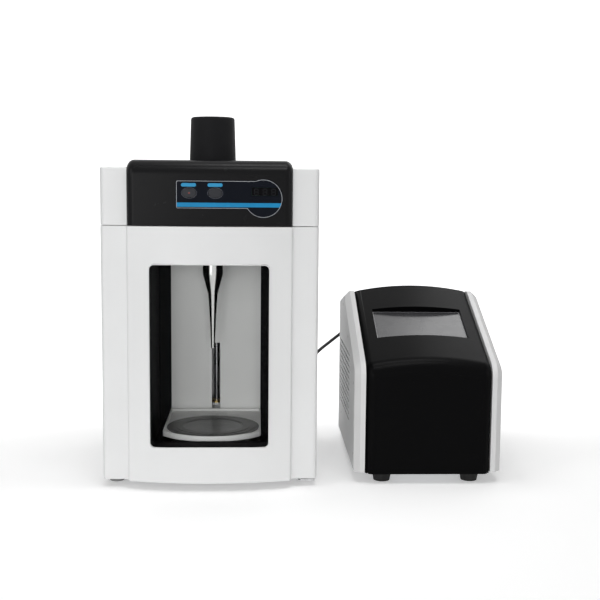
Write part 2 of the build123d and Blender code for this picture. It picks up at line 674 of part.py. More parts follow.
TAPER_STEPS = 6
taper = []
for k in range(TAPER_STEPS + 1):
    share = k / TAPER_STEPS
    radius = HORN_NECK_R * exp(-share * log(HORN_NECK_R / HORN_TIP_R))
    taper.append((radius, HORN_NECK_Z + share * (HORN_TIP_Z - HORN_NECK_Z)))
stud_bore_r = STUD_R + PIN_FIT
with BuildPart() as horn:
    with BuildSketch(facing(ENC, HORN_Y)) as horn_profile:
        with BuildLine():
            Polyline((HORN_NECK_R, HORN_NECK_Z), (HORN_R, HORN_BODY_LOW), (HORN_R, HORN_TOP_Z),
                     (stud_bore_r, HORN_TOP_Z), (stud_bore_r, HORN_TOP_Z - 13), (0, HORN_TOP_Z - 13),
                     (0, HORN_TIP_Z), (HORN_TIP_R, HORN_TIP_Z))
            Spline(*taper)
        make_face()
    revolve(axis=Axis(ENC + Vector(0, HORN_Y, 0), (0, 0, 1)))
keep(horn, "horn")

# Sample platform and its lift

with BuildPart() as platform_tray:
    with BuildSketch(level(ENC, TRAY_TOP - TRAY_T)) as tray_outline:
        with BuildLine():
            Polyline((-TRAY_HALF, TRAY_FRONT_SIDE), (-TRAY_HALF, TRAY_BACK), (TRAY_HALF, TRAY_BACK),
                     (TRAY_HALF, TRAY_FRONT_SIDE))
            ThreePointArc((TRAY_HALF, TRAY_FRONT_SIDE), (0, TRAY_FRONT_MIDDLE), (-TRAY_HALF, TRAY_FRONT_SIDE))
        make_face()
        fillet(vertices().group_by(Axis.Y)[0], 9)
    extrude(amount=TRAY_T + TRAY_RIM_H)
    with BuildSketch(level(ENC, TRAY_TOP)):
        offset(tray_outline.sketch_local, amount=-TRAY_RIM_W)
    extrude(amount=TRAY_RIM_H + 1, mode=Mode.SUBTRACT)
keep(platform_tray, "platform_tray")

with BuildPart() as platform_disc:
    low = TRAY_TOP
    step_1 = DISC_R - 6
    step_2 = DISC_R - 14
    turned(ENC, 0, DISC_Y, [
        (INSERT_R + FIT, low), (DISC_R, low), (DISC_R, low + 1.2), (step_1, low + 1.4), (step_1, low + 1.9),
        (step_2, low + 2.1), (step_2, low + DISC_T), (INSERT_R + FIT, low + DISC_T)])
keep(platform_disc, "platform_disc")

with BuildPart() as disc_insert:
    turned(ENC, 0, DISC_Y, [
        (0, low), (INSERT_R, low), (INSERT_R, low + 2.2), (INSERT_R - 2, low + 2.2),
        (INSERT_R - 3, low + 1.6), (0, low + 1.6)])
keep(disc_insert, "disc_insert")

TRAY_LOW = TRAY_TOP - TRAY_T
CARRIAGE_LOW = TRAY_LOW - ARM_DROP
CARRIAGE_FRONT = LIFT_Y - CARRIAGE_D / 2
ROD_X = ROD_SPACING / 2
BUSH_R = ROD_R + 3
NUT_R = SCREW_R + 4
with BuildPart() as lift_carriage:
    slab(ENC, -ARM_HALF, ARM_HALF, DISC_Y - 30, CARRIAGE_FRONT, CARRIAGE_LOW, TRAY_LOW)
    half = CARRIAGE_W / 2
    carriage_back = LIFT_Y + CARRIAGE_D / 2
    slab(ENC, -half, half, CARRIAGE_FRONT, carriage_back, CARRIAGE_LOW, CARRIAGE_LOW + CARRIAGE_H)
    with BuildSketch(level(ENC, CARRIAGE_LOW - 1)):
        with Locations((-ROD_X, LIFT_Y), (ROD_X, LIFT_Y)):
            Circle(BUSH_R)
        with Locations((0, LIFT_Y)):
            Circle(NUT_R)
    extrude(amount=CARRIAGE_H + 2, mode=Mode.SUBTRACT)
keep(lift_carriage, "lift_carriage")

with BuildPart() as guide_bushings:
    with BuildSketch(level(ENC, CARRIAGE_LOW)):
        with Locations((-ROD_X, LIFT_Y), (ROD_X, LIFT_Y)):
            Circle(BUSH_R)
            Circle(ROD_R + PIN_FIT, mode=Mode.SUBTRACT)
    extrude(amount=CARRIAGE_H)

with BuildPart() as lead_nut:
    turned(ENC, 0, LIFT_Y, [
        (SCREW_R + PIN_FIT, CARRIAGE_LOW), (NUT_R, CARRIAGE_LOW), (NUT_R, CARRIAGE_LOW + CARRIAGE_H),
        (NUT_R + 4, CARRIAGE_LOW + CARRIAGE_H), (NUT_R + 4, CARRIAGE_LOW + CARRIAGE_H + 3),
        (SCREW_R + PIN_FIT, CARRIAGE_LOW + CARRIAGE_H + 3)])
keep_together("carriage_bushings", guide_bushings, lead_nut)

PAN_TOP = FOOT_HEIGHT + SHELL_WALL
BEARING_R = 8.0
PLATE_HALF_X = 50.0
with BuildPart() as lift_plates:
    plate_back = ENC_DEPTH - SHELL_WALL - 16
    for low, high in ((PAN_TOP, PAN_TOP + 10), (LIFT_PLATE_Z, LIFT_PLATE_Z + 6)):
        slab(ENC, -PLATE_HALF_X, PLATE_HALF_X, CHAMBER_BACK + LINER_WALL, plate_back, low, high)
    for side in (-1, 1):
        web = sorted((side * (PLATE_HALF_X - 3), side * PLATE_HALF_X))
        slab(ENC, *web, CHAMBER_BACK + LINER_WALL, plate_back, PAN_TOP + 10, LIFT_PLATE_Z)
    with BuildSketch(level(ENC, PAN_TOP)):
        with Locations((-ROD_X, LIFT_Y), (ROD_X, LIFT_Y)):
            Circle(ROD_R)
    extrude(amount=LIFT_PLATE_Z + 10, mode=Mode.SUBTRACT)
    with BuildSketch(level(ENC, PAN_TOP + 3)):
        with Locations((0, LIFT_Y)):
            Circle(BEARING_R)
    extrude(amount=LIFT_PLATE_Z + 10, mode=Mode.SUBTRACT)

with BuildPart() as guide_rods:
    with BuildSketch(level(ENC, PAN_TOP)):
        with Locations((-ROD_X, LIFT_Y), (ROD_X, LIFT_Y)):
            Circle(ROD_R)
    extrude(amount=LIFT_PLATE_Z + 6 - PAN_TOP)

with BuildPart() as screw_bearing:
    turned(ENC, 0, LIFT_Y, [
        (SCREW_R - 1 + PIN_FIT, PAN_TOP + 3), (BEARING_R, PAN_TOP + 3), (BEARING_R, PAN_TOP + 9),
        (SCREW_R - 1 + PIN_FIT, PAN_TOP + 9)])
keep_together("lift_frame", lift_plates, guide_rods, screw_bearing)

with BuildPart() as lead_screw:
    turned(ENC, 0, LIFT_Y, [
        (0, PAN_TOP + 4), (SCREW_R - 1, PAN_TOP + 4), (SCREW_R - 1, PAN_TOP + 10), (SCREW_R, PAN_TOP + 10.4),
        (SCREW_R, SCREW_TOP), (0, SCREW_TOP)])

SHAFT_R = 2.5
with BuildPart() as shaft_coupling:
    turned(ENC, 0, LIFT_Y, [
        (SCREW_R, SCREW_TOP - 6), (9, SCREW_TOP - 6), (9, SCREW_TOP + 14), (SHAFT_R, SCREW_TOP + 14),
        (SHAFT_R, SCREW_TOP), (SCREW_R, SCREW_TOP)])

with BuildPart() as motor_shaft:
    shaft_low = SCREW_TOP + 0.5
    shaft_high = LIFT_PLATE_Z + 14
    turned(ENC, 0, LIFT_Y, [(0, shaft_low), (SHAFT_R, shaft_low), (SHAFT_R, shaft_high), (0, shaft_high)])
keep_together("lead_screw", lead_screw, shaft_coupling, motor_shaft)

with BuildPart() as lift_motor:
    half = MOTOR_SIZE / 2
    motor_low = LIFT_PLATE_Z + 6
    slab(ENC, -half, half, LIFT_Y - half, LIFT_Y + half, motor_low, motor_low + MOTOR_H)
    chamfer(lift_motor.edges().filter_by(Axis.Z), 4)
    with BuildSketch(level(ENC, motor_low)):
        with Locations((0, LIFT_Y)):
            Circle(SHAFT_R + PIN_FIT)
    extrude(amount=12, mode=Mode.SUBTRACT)
    slab(ENC, -8, 8, LIFT_Y + half, LIFT_Y + half + 6, motor_low + 2, motor_low + 10)
keep(lift_motor, "lift_motor")

# Generator: chassis, rear panel and side panels

INNER_HALF = COVER_HALF - COVER_WALL - 2 * FIT
with BuildPart() as generator_feet:
    with BuildSketch(level(GEN, 0)):
        with Locations(*[(x, y) for x in (-GEN_FOOT_X, GEN_FOOT_X) for y in GEN_FOOT_Y]):
            Circle(GEN_FOOT_R)
    extrude(amount=GEN_FOOT_H, taper=-10)
keep(generator_feet, "generator_feet")

CHASSIS_LOW = GEN_FOOT_H
CHASSIS_TOP = CHASSIS_LOW + CHASSIS_T
with BuildPart() as generator_chassis:
    slab(GEN, -INNER_HALF, INNER_HALF, COVER_WALL + 2, REAR_PLATE_Y, CHASSIS_LOW, CHASSIS_TOP)
    front_corners = generator_chassis.edges().filter_by(Axis.Z).group_by(Axis.Y)[0]
    fillet(front_corners, COVER_CORNER_R - COVER_WALL)
    for side in (-1, 1):
        wall = sorted((side * (INNER_HALF - CHASSIS_T), side * INNER_HALF))
        slab(GEN, *wall, 20, REAR_PLATE_Y, CHASSIS_LOW, CHASSIS_TOP + CHASSIS_RIM_H)
keep(generator_chassis, "generator_chassis")

INLET = (-62.0, 58.0)
SWITCH = (-18.0, 58.0)
SOCKET = (-80.0, 190.0)
with BuildPart() as generator_rear_panel:
    with BuildSketch(facing(GEN, REAR_PLATE_Y + CHASSIS_T)):
        with Locations((0, (CHASSIS_LOW + REAR_TOP_Z - 6) / 2)):
            Rectangle(2 * INNER_HALF, REAR_TOP_Z - 6 - CHASSIS_LOW)
        with Locations((FAN_X, FAN_Z)):
            Circle(FAN_BORE_R, mode=Mode.SUBTRACT)
        with Locations(INLET):
            Rectangle(28, 23, mode=Mode.SUBTRACT)
        with Locations(SWITCH):
            Rectangle(17, 24, mode=Mode.SUBTRACT)
        with Locations(SOCKET):
            Circle(8, mode=Mode.SUBTRACT)
    extrude(amount=CHASSIS_T)
keep(generator_rear_panel, "generator_rear_panel")


def side_outline(inset):
    """A side panel's outline in its own y and z, moved inwards by inset."""
    with BuildSketch() as outline:
        with BuildLine():
            Polyline((4, SIDE_LOW), (4, KNEE_Z + 2), (RIDGE_Y, RIDGE_Z + 2), (GEN_DEPTH, REAR_TOP_Z + 2),
                     (GEN_DEPTH, SIDE_LOW), close=True)
        make_face()
        knee = vertices().sort_by(Axis.X).filter_by_position(Axis.Y, KNEE_Z + 1, KNEE_Z + 3)
        fillet(knee, KNEE_R)
        top = vertices().group_by(Axis.Y)[-1]
        fillet(top, 30)
        rear = vertices().group_by(Axis.X)[-1].sort_by(Axis.Y)[-1]
        fillet(rear, 14)
        if inset:
            offset(amount=-inset)
    return outline.sketch


SIDE_SCREWS = ((246, 246), (300, 218), (142, 206), (38, 149), (256, 54), (26, 41))
for side, name in ((-1, "left"), (1, "right")):
    with BuildPart() as side_panel:
        with BuildSketch(across(GEN, side * COVER_HALF)):
            add(side_outline(0))
        extrude(amount=side * SIDE_T)
        outer = side_panel.faces().sort_by(Axis.X)[-1 if side > 0 else 0]
        rim = outer.edges().filter_by(lambda edge: edge.center().Z > SIDE_LOW + 1)
        chamfer(rim.filter_by(lambda edge: edge.center().Y < GEN.Y + GEN_DEPTH - 1), SIDE_CHAMFER)
        with BuildSketch(across(GEN, side * COVER_HALF)):
            add(side_outline(11))
        extrude(amount=side * (SIDE_T - SIDE_WALL), mode=Mode.SUBTRACT)
        with BuildSketch(across(GEN, side * GEN_HALF)):
            for k in range(LOUVRE_COUNT):
                with Locations(((LOUVRE_FRONT + LOUVRE_BACK) / 2, LOUVRE_LOW + k * LOUVRE_PITCH)):
                    Rectangle(LOUVRE_BACK - LOUVRE_FRONT, LOUVRE_H)
            with Locations(*SIDE_SCREWS):
                Circle(SCREW_HEAD_R + FIT / 2)
        extrude(amount=-side * (SIDE_WALL + 1), mode=Mode.SUBTRACT)
    keep(side_panel, f"{name}_side_panel")

with BuildPart() as side_screws:
    for side in (-1, 1):
        with BuildSketch(across(GEN, side * (GEN_HALF - 0.2))):
            with Locations(*SIDE_SCREWS):
                RegularPolygon(SCREW_HEAD_R, SCREW_SIDES)
                Rectangle(*SCREW_SLOT, mode=Mode.SUBTRACT)
        extrude(amount=-side * SIDE_WALL)
keep_together("panel_screws", rear_panel_screws, side_screws)

# Generator: front cover with its recessed screen

SLOPE_NORMAL = Vector(0, -SLOPE, 1).normalized()


def on_slope(depth):
    """A sketch plane that lies along the sloping front, depth below the cover's side edges."""
    middle = GEN + Vector(0, SCREEN_Y, KNEE_Z + SLOPE * SCREEN_Y)
    return Plane(middle - SLOPE_NORMAL * depth, x_dir=(1, 0, 0), z_dir=SLOPE_NORMAL)


def cover_section(inset, y, side_z):
    """The cover's upright section at depth y: straight sides and an arched top, moved inwards by inset."""
    half = COVER_HALF - FIT - inset
    high = side_z - inset
    with BuildSketch(facing(GEN, y)) as section:
        with BuildLine():
            Polyline((-half, high), (-half, COVER_LOW), (half, COVER_LOW), (half, high))
            ThreePointArc((half, high), (0, high + ARCH), (-half, high))
        make_face()
    return section.sketch


def cover_block(inset, back):
    """The cover's outer or inner form, with its rounded knee and corners, back to the depth back."""
    sections = [
        cover_section(inset, inset, KNEE_Z + SLOPE * inset),
        cover_section(inset, RIDGE_Y, RIDGE_Z),
        cover_section(inset, back, REAR_TOP_Z),
    ]
    with BuildPart() as block:
        loft(sections, ruled=True)
        knee = block.faces().sort_by(Axis.Y)[0].edges().sort_by(Axis.Z)[-1]
        fillet(knee, KNEE_R - inset)
        uprights = block.faces().sort_by(Axis.Y)[0].edges().filter_by(Axis.Z)
        fillet(uprights, COVER_CORNER_R - inset)
    return block.part


COVER_FORM = cover_block(0, GEN_DEPTH)
with BuildPart() as screen_tub:
    with BuildSketch(on_slope(SCREEN_DROP)):
        Rectangle(SCREEN_W + 2 * COVER_WALL, SCREEN_L + 2 * COVER_WALL)
    extrude(amount=40)
    add(COVER_FORM, mode=Mode.INTERSECT)

with BuildPart() as front_cover:
    add(COVER_FORM)
    add(cover_block(COVER_WALL, GEN_DEPTH + 1), mode=Mode.SUBTRACT)
    slab(GEN, -INNER_HALF - FIT, INNER_HALF + FIT, COVER_WALL, GEN_DEPTH + 1, 0, COVER_LOW + 1, Mode.SUBTRACT)
    add(screen_tub.part)
    with BuildSketch(on_slope(SCREEN_DROP + 1)):
        Rectangle(SCREEN_W, SCREEN_L)
    extrude(amount=60, mode=Mode.SUBTRACT)
keep(front_cover, "front_cover")

with BuildPart() as touch_screen:
    with BuildSketch(on_slope(SCREEN_DROP)):
        Rectangle(SCREEN_W + COVER_WALL, SCREEN_L + COVER_WALL)
    extrude(amount=-GLASS_T)
keep(touch_screen, "touch_screen")

MODULE_T = 9.0
with BuildPart() as display_module:
    with BuildSketch(on_slope(SCREEN_DROP + GLASS_T)):
        Rectangle(SCREEN_W, SCREEN_L)
    extrude(amount=-MODULE_T)

BOARD_GAP = 8.0
with BuildPart() as controller_board:
    with BuildSketch(on_slope(SCREEN_DROP + GLASS_T + MODULE_T + BOARD_GAP)):
        Rectangle(120, 70)
    extrude(amount=-1.6)
    with BuildSketch(on_slope(SCREEN_DROP + GLASS_T + MODULE_T + BOARD_GAP + 1.6)):
        with Locations((-20, 0)):
            Rectangle(18, 18)
        with Locations((25, 15), (25, -5), (45, 5)):
            Rectangle(12, 8)
    extrude(amount=-4)
keep_together("display_module", display_module, controller_board)

with BuildPart() as controller_standoffs:
    with BuildSketch(on_slope(SCREEN_DROP + GLASS_T + MODULE_T)):
        with GridLocations(110, 60, 2, 2):
            RegularPolygon(3, 6)
    extrude(amount=-BOARD_GAP)

# Generator: power parts on the chassis

ON_FLOOR = (Align.CENTER, Align.CENTER, Align.MIN)
TRANSFORMER = (-37.0, 123.0)
MATCHING_COIL = (-48.0, 210.0)

with BuildPart() as transformer:
    with Locations(level(GEN, CHASSIS_TOP)):
        with Locations(TRANSFORMER):
            Box(66, 54, 56, align=ON_FLOOR)
            Box(86, 22, 3, align=ON_FLOOR)
            with Locations((0, 0, 10)):
                Box(34, 78, 36, align=ON_FLOOR)
    chamfer(transformer.edges().filter_by(Axis.X).group_by(Axis.Y)[0], 6)
    chamfer(transformer.edges().filter_by(Axis.X).group_by(Axis.Y)[-1], 6)

POWER_BOARD_Z = CHASSIS_TOP + 8
with BuildPart() as power_board:
    slab(GEN, 16, 86, 60, 220, POWER_BOARD_Z, POWER_BOARD_Z + 1.6)
    with BuildSketch(level(GEN, POWER_BOARD_Z + 1.6)):
        with Locations((34, 84), (34, 116), (64, 90)):
            Circle(12.5)
    extrude(amount=40)
    with BuildSketch(level(GEN, POWER_BOARD_Z + 1.6)):
        with Locations((66, 124), (66, 148)):
            Rectangle(24, 14)
    extrude(amount=18)

with BuildPart() as board_posts:
    with BuildSketch(level(GEN, CHASSIS_TOP)):
        with Locations((51, 140)):
            with GridLocations(60, 150, 2, 2):
                RegularPolygon(3, 6)
    extrude(amount=POWER_BOARD_Z - CHASSIS_TOP)
keep_together("board_standoffs", board_standoffs, controller_standoffs, board_posts)

FIN_COUNT = 8
with BuildPart() as heat_sink:
    slab(GEN, 26, 30, 172, 214, POWER_BOARD_Z + 1.6, POWER_BOARD_Z + 46)
    for k in range(FIN_COUNT):
        fin_y = 172 + k * 40 / (FIN_COUNT - 1)
        slab(GEN, 30, 56, fin_y, fin_y + 2, POWER_BOARD_Z + 1.6, POWER_BOARD_Z + 46)
keep_together("power_board", power_board, heat_sink)

with BuildPart() as matching_coil:
    with BuildSketch(level(GEN, CHASSIS_TOP)):
        with Locations(MATCHING_COIL):
            Circle(26)
            Circle(11, mode=Mode.SUBTRACT)
    extrude(amount=24)
    chamfer(matching_coil.edges(), 3)
keep_together("transformer", transformer, matching_coil)

# Generator: what its rear panel carries

REAR_FACE = REAR_PLATE_Y + CHASSIS_T
PIN_PLACES = [(INLET[0] + x, INLET[1] - 3.5) for x in (-7, 0, 7)]
with BuildPart() as mains_inlet:
    with BuildSketch(facing(GEN, REAR_FACE)):
        with Locations(INLET):
            RectangleRounded(34, 28, 3)
    extrude(amount=-3)
    with BuildSketch(facing(GEN, REAR_FACE)):
        with Locations(INLET):
            Rectangle(27.4, 22.4)
    extrude(amount=20)
    with BuildSketch(facing(GEN, REAR_FACE + 4)):
        with Locations(INLET):
            Rectangle(24, 18)
    extrude(amount=20, mode=Mode.SUBTRACT)
    with BuildSketch(facing(GEN, REAR_FACE)):
        with Locations(*PIN_PLACES):
            Rectangle(2 + FIT, 4 + FIT)
    extrude(amount=21, mode=Mode.SUBTRACT)
keep(mains_inlet, "mains_inlet")

with BuildPart() as inlet_pins:
    with BuildSketch(facing(GEN, REAR_FACE - 20)):
        with Locations(*PIN_PLACES):
            Rectangle(2, 4)
    extrude(amount=-20)
    with BuildSketch(facing(GEN, REAR_FACE - 20)):
        with Locations(*PIN_PLACES):
            Rectangle(5, 0.8)
    extrude(amount=8)
keep(inlet_pins, "inlet_pins")

ROCKER_HALF_Z = 8.5
ROCKER_HALF_X = 5.8
ROCKER_TILT = 12.0
ROCKER_Y = REAR_FACE + 0.5
ROCKER_PIN_R = 1.4
with BuildPart() as switch_frame:
    with BuildSketch(facing(GEN, REAR_FACE)):
        with Locations(SWITCH):
            RectangleRounded(21, 28, 2)
    extrude(amount=-2.4)
    with BuildSketch(facing(GEN, REAR_FACE)):
        with Locations(SWITCH):
            Rectangle(16.4, 23.4)
    extrude(amount=16)
    with BuildSketch(facing(GEN, REAR_FACE + 4)):
        with Locations(SWITCH):
            Rectangle(2 * (ROCKER_HALF_X + SLIDE_FIT), 2 * (ROCKER_HALF_Z + 1.5))
    extrude(amount=15, mode=Mode.SUBTRACT)
    with BuildSketch(across(GEN, SWITCH[0] - 8)):
        with Locations((ROCKER_Y, SWITCH[1])):
            Circle(ROCKER_PIN_R + PIN_FIT)
    extrude(amount=16, mode=Mode.SUBTRACT)
keep(switch_frame, "switch_frame")

with BuildPart() as power_rocker:
    with BuildSketch(across(GEN, SWITCH[0] - ROCKER_HALF_X)):
        with Locations((ROCKER_Y, SWITCH[1])):
            with Locations(Rotation(0, 0, -ROCKER_TILT)):
                Polygon((-4, -ROCKER_HALF_Z), (4, -ROCKER_HALF_Z), (2.2, 0), (4, ROCKER_HALF_Z),
                        (-4, ROCKER_HALF_Z), (-7, 0), align=None)
    extrude(amount=2 * ROCKER_HALF_X)
    with BuildSketch(across(GEN, SWITCH[0] - ROCKER_HALF_X - 1.6)):
        with Locations((ROCKER_Y, SWITCH[1])):
            Circle(ROCKER_PIN_R)
    extrude(amount=2 * ROCKER_HALF_X + 3.2)
keep(power_rocker, "power_rocker")

FAN_BACK = REAR_PLATE_Y
FAN_FRONT = FAN_BACK - FAN_DEPTH
HUB_R = 11.0
with BuildPart() as fan_frame:
    with BuildSketch(facing(GEN, FAN_BACK)):
        with Locations((FAN_X, FAN_Z)):
            RectangleRounded(FAN_SIZE, FAN_SIZE, 4)
            Circle(FAN_BORE_R, mode=Mode.SUBTRACT)
            with GridLocations(50, 50, 2, 2):
                Circle(2.1, mode=Mode.SUBTRACT)
    extrude(amount=FAN_DEPTH)
    with BuildSketch(facing(GEN, FAN_FRONT + 2.5)):
        with Locations((FAN_X, FAN_Z)):
            Circle(HUB_R)
            with PolarLocations((FAN_BORE_R + HUB_R) / 2, 3, start_angle=90):
                Rectangle(FAN_BORE_R - HUB_R + 3, 4)
            Circle(1.5 + PIN_FIT, mode=Mode.SUBTRACT)
    extrude(amount=2.5)
keep(fan_frame, "fan_frame")

with BuildPart() as fan_rotor:
    with BuildSketch(facing(GEN, FAN_BACK - 1)):
        with Locations((FAN_X, FAN_Z)):
            Circle(HUB_R)
    extrude(amount=FAN_DEPTH - 4.5)
    for k in range(BLADE_COUNT):
        turn = 360 * k / BLADE_COUNT
        spoke = Plane(GEN + Vector(FAN_X, FAN_BACK - FAN_DEPTH / 2 + 1, FAN_Z), x_dir=(0, 1, 0),
                      z_dir=(cos(radians(turn)), 0, sin(radians(turn))))
        with BuildSketch(spoke.offset(HUB_R - 1)):
            with Locations(Rotation(0, 0, 40)):
                Rectangle(11, 1.6)
        extrude(amount=ROTOR_R - HUB_R + 1)
    with BuildSketch(facing(GEN, FAN_BACK - 2)):
        with Locations((FAN_X, FAN_Z)):
            Circle(1.5)
    extrude(amount=FAN_DEPTH - 2.5)
keep(fan_rotor, "fan_rotor")

with BuildPart() as fan_guard:
    with BuildSketch(facing(GEN, REAR_FACE + 1.8)):
        with Locations((FAN_X, FAN_Z)):
            for radius in (29.5, 23, 16.5, 10):
                Circle(radius)
                Circle(radius - 1.6, mode=Mode.SUBTRACT)
            Rectangle(2, 58)
            Rectangle(58, 2)
            with PolarLocations(34, 4, start_angle=45):
                Rectangle(12, 5)
    extrude(amount=1.8)
keep(fan_guard, "fan_guard")

with BuildPart() as output_socket:
    with BuildSketch(facing(GEN, REAR_FACE + 4)):
        with Locations(SOCKET):
            Circle(10.5)
            Circle(7, mode=Mode.SUBTRACT)
    extrude(amount=4)
    with BuildSketch(facing(GEN, REAR_FACE)):
        with Locations(SOCKET):
            Circle(8)
            Circle(7, mode=Mode.SUBTRACT)
    extrude(amount=14)
    with BuildSketch(facing(GEN, REAR_FACE - 11)):
        with Locations(SOCKET):
            Circle(7)
    extrude(amount=3)

# Enclosure socket and the cable

ENC_FACE = ENC_DEPTH + REAR_T
with BuildPart() as enclosure_socket:
    with BuildSketch(facing(ENC, ENC_FACE + 4)):
        with Locations(ENC_SOCKET):
            Circle(11.5)
            Circle(7, mode=Mode.SUBTRACT)
    extrude(amount=4)
    with BuildSketch(facing(ENC, ENC_FACE)):
        with Locations(ENC_SOCKET):
            Circle(SOCKET_BODY_R)
            Circle(7, mode=Mode.SUBTRACT)
    extrude(amount=14)
    with BuildSketch(facing(ENC, ENC_FACE - 11)):
        with Locations(ENC_SOCKET):
            Circle(7)
    extrude(amount=3)
keep_together("cable_sockets", output_socket, enclosure_socket)

PLUG_LENGTH = 32.0
RELIEF_LENGTH = 26.0
plugs = []
for home, face, place in ((GEN, REAR_FACE + 4, SOCKET), (ENC, ENC_FACE + 4, ENC_SOCKET)):
    with BuildPart() as plug:
        with BuildSketch(facing(home, face - 12)):
            with Locations(place):
                Circle(7 - PIN_FIT)
        extrude(amount=-12)
        with BuildSketch(facing(home, face)):
            with Locations(place):
                Circle(PLUG_R + 2)
        extrude(amount=-PLUG_LENGTH)
        chamfer(plug.edges().group_by(Axis.Y)[-1], 1.5)
        with BuildSketch(facing(home, face + PLUG_LENGTH)):
            with Locations(place):
                Circle(PLUG_R - 2)
        extrude(amount=-RELIEF_LENGTH, taper=5)
    plugs.append(plug)
keep_together("cable_plugs", *plugs)

# The cable's route on the enclosure's plan, from its two plugs; as drawn, the first points are the exits
EXIT_GEN_Y = REAR_FACE + 4 + PLUG_LENGTH + RELIEF_LENGTH
EXIT_ENC_Y = ENC_FACE + 4 + PLUG_LENGTH + RELIEF_LENGTH
GENERATOR_EXIT = (GEN.X - ENC.X + SOCKET[0], GEN.Y - ENC.Y + EXIT_GEN_Y, SOCKET[1])
ENCLOSURE_EXIT = (ENC_SOCKET[0], EXIT_ENC_Y, ENC_SOCKET[1])
COIL_X = 30.0
COIL_Y = ENC_DEPTH + 50
COIL_MEAN_R = 33.0
COIL_LOW = 0.2
COIL_HEIGHT = 11.2
GENERATOR_RUN = [
    (251.0, 384.0, 190.0), (249.3, 408.5, 188.3), (236.0, 427.0, 176.0), (213.0, 431.0, 157.0),
    (183.0, 421.0, 135.0), (155.0, 402.0, 106.0), (133.0, 377.0, 72.0), (117.0, 352.0, 37.0),
    (100.0, 331.0, 10.0), (77.0, 319.0, 3.2), (51.0, 315.0, 3.2),
]
ENCLOSURE_RUN = [
    (92.0, 363.5, 120.0), (91.5, 388.0, 118.5), (86.0, 407.0, 102.0), (82.0, 414.0, 74.0),
    (77.0, 408.0, 45.0), (66.0, 396.0, 20.0), (46.0, 385.5, 9.0),
]
DRAWN_COIL_Y = 350.0


def run_between(points, start):
    """The drawn points, moved so that they leave the plug at start and still end on the coil."""
    last = len(points) - 1
    first_shift = [now - drawn for now, drawn in zip(start, points[0])]
    last_shift = (0.0, COIL_Y - DRAWN_COIL_Y, 0.0)
    moved = []
    for count, point in enumerate(points):
        share = count / last
        shifts = zip(point, first_shift, last_shift)
        moved.append(tuple(at + (1 - share) * near + share * far for at, near, far in shifts))
    return moved


def cable_tube(points):
    """A round tube along straight runs joined by the largest arcs that the runs allow; prints its radii."""
    places = [ENC + Vector(*point) for point in points]
    radii = []
    for before, here, after in zip(places, places[1:], places[2:]):
        shorter = min((here - before).length, (after - here).length)
        half_turn = radians((here - before).get_angle(after - here)) / 2
        radii.append(0.45 * shorter / tan(half_turn))
    print("cable radii", [round(radius, 1) for radius in radii])
    with BuildPart() as tube:
        with BuildLine() as route:
            FilletPolyline(*places, radius=radii)
        with BuildSketch(Plane(route.line @ 0, z_dir=route.line % 0)) as section:
            Circle(CABLE_R)
        sweep(section.sketch, path=route.line)
    length = sum(edge.length for edge in route.edges())
    print("cable run", round(length, 1), "volume", round(tube.part.volume, 1),
          "section times length", round(section.sketch.area * length, 1))
    return tube


keep(cable_tube(run_between(GENERATOR_RUN, GENERATOR_EXIT)), "cable_generator_run")
keep(cable_tube(run_between(ENCLOSURE_RUN, ENCLOSURE_EXIT)), "cable_enclosure_run")

with BuildPart() as cable_coil:
    coil_in = COIL_MEAN_R - 2 * CABLE_R
    coil_out = COIL_MEAN_R + 2 * CABLE_R
    coil_top = COIL_LOW + COIL_HEIGHT
    turned(ENC, COIL_X, COIL_Y, [
        (coil_in, COIL_LOW), (coil_out, COIL_LOW), (coil_out, coil_top), (coil_in, coil_top)])
    chamfer(cable_coil.edges(), CABLE_R / 2)
keep(cable_coil, "cable_coil")
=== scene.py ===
"""Looks of a bench-top probe sonicator: a tall enclosure with a lifting platform, and its generator.

Everything is in metres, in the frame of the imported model. Places on the enclosure and along the cable
are written in millimetres from the enclosure's own zero, as in the part's source, and moved by place().
"""
import math

import bmesh
import bpy
from mathutils import Matrix, Vector


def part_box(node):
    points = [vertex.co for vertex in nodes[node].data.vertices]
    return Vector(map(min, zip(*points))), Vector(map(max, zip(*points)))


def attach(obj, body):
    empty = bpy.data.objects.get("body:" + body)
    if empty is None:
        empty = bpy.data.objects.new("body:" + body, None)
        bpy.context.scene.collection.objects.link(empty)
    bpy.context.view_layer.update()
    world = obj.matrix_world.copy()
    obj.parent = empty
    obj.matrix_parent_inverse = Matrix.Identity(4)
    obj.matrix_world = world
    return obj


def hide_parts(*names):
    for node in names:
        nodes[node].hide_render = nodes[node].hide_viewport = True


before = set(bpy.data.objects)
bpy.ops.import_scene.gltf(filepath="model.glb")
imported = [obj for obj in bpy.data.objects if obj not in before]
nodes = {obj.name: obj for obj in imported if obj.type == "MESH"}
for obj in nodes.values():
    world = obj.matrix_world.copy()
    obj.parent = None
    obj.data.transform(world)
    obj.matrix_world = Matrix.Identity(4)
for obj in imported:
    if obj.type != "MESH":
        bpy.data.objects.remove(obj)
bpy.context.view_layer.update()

MM = 0.001
ENCLOSURE = Vector((-142.0, -151.0, 0.0))

# The camera that took the photograph, found from the straight edges of both cases
IMAGE_SIZE = 600
CAMERA_PLACE = Vector((-0.073, -1.671, 0.4586))
CAMERA_YAW = math.radians(-2.4)
CAMERA_PITCH = math.radians(6.58)
CAMERA_ROLL = math.radians(0.53)
FOCAL_PIXELS = 1035.2
SENSOR_WIDTH = 36.0

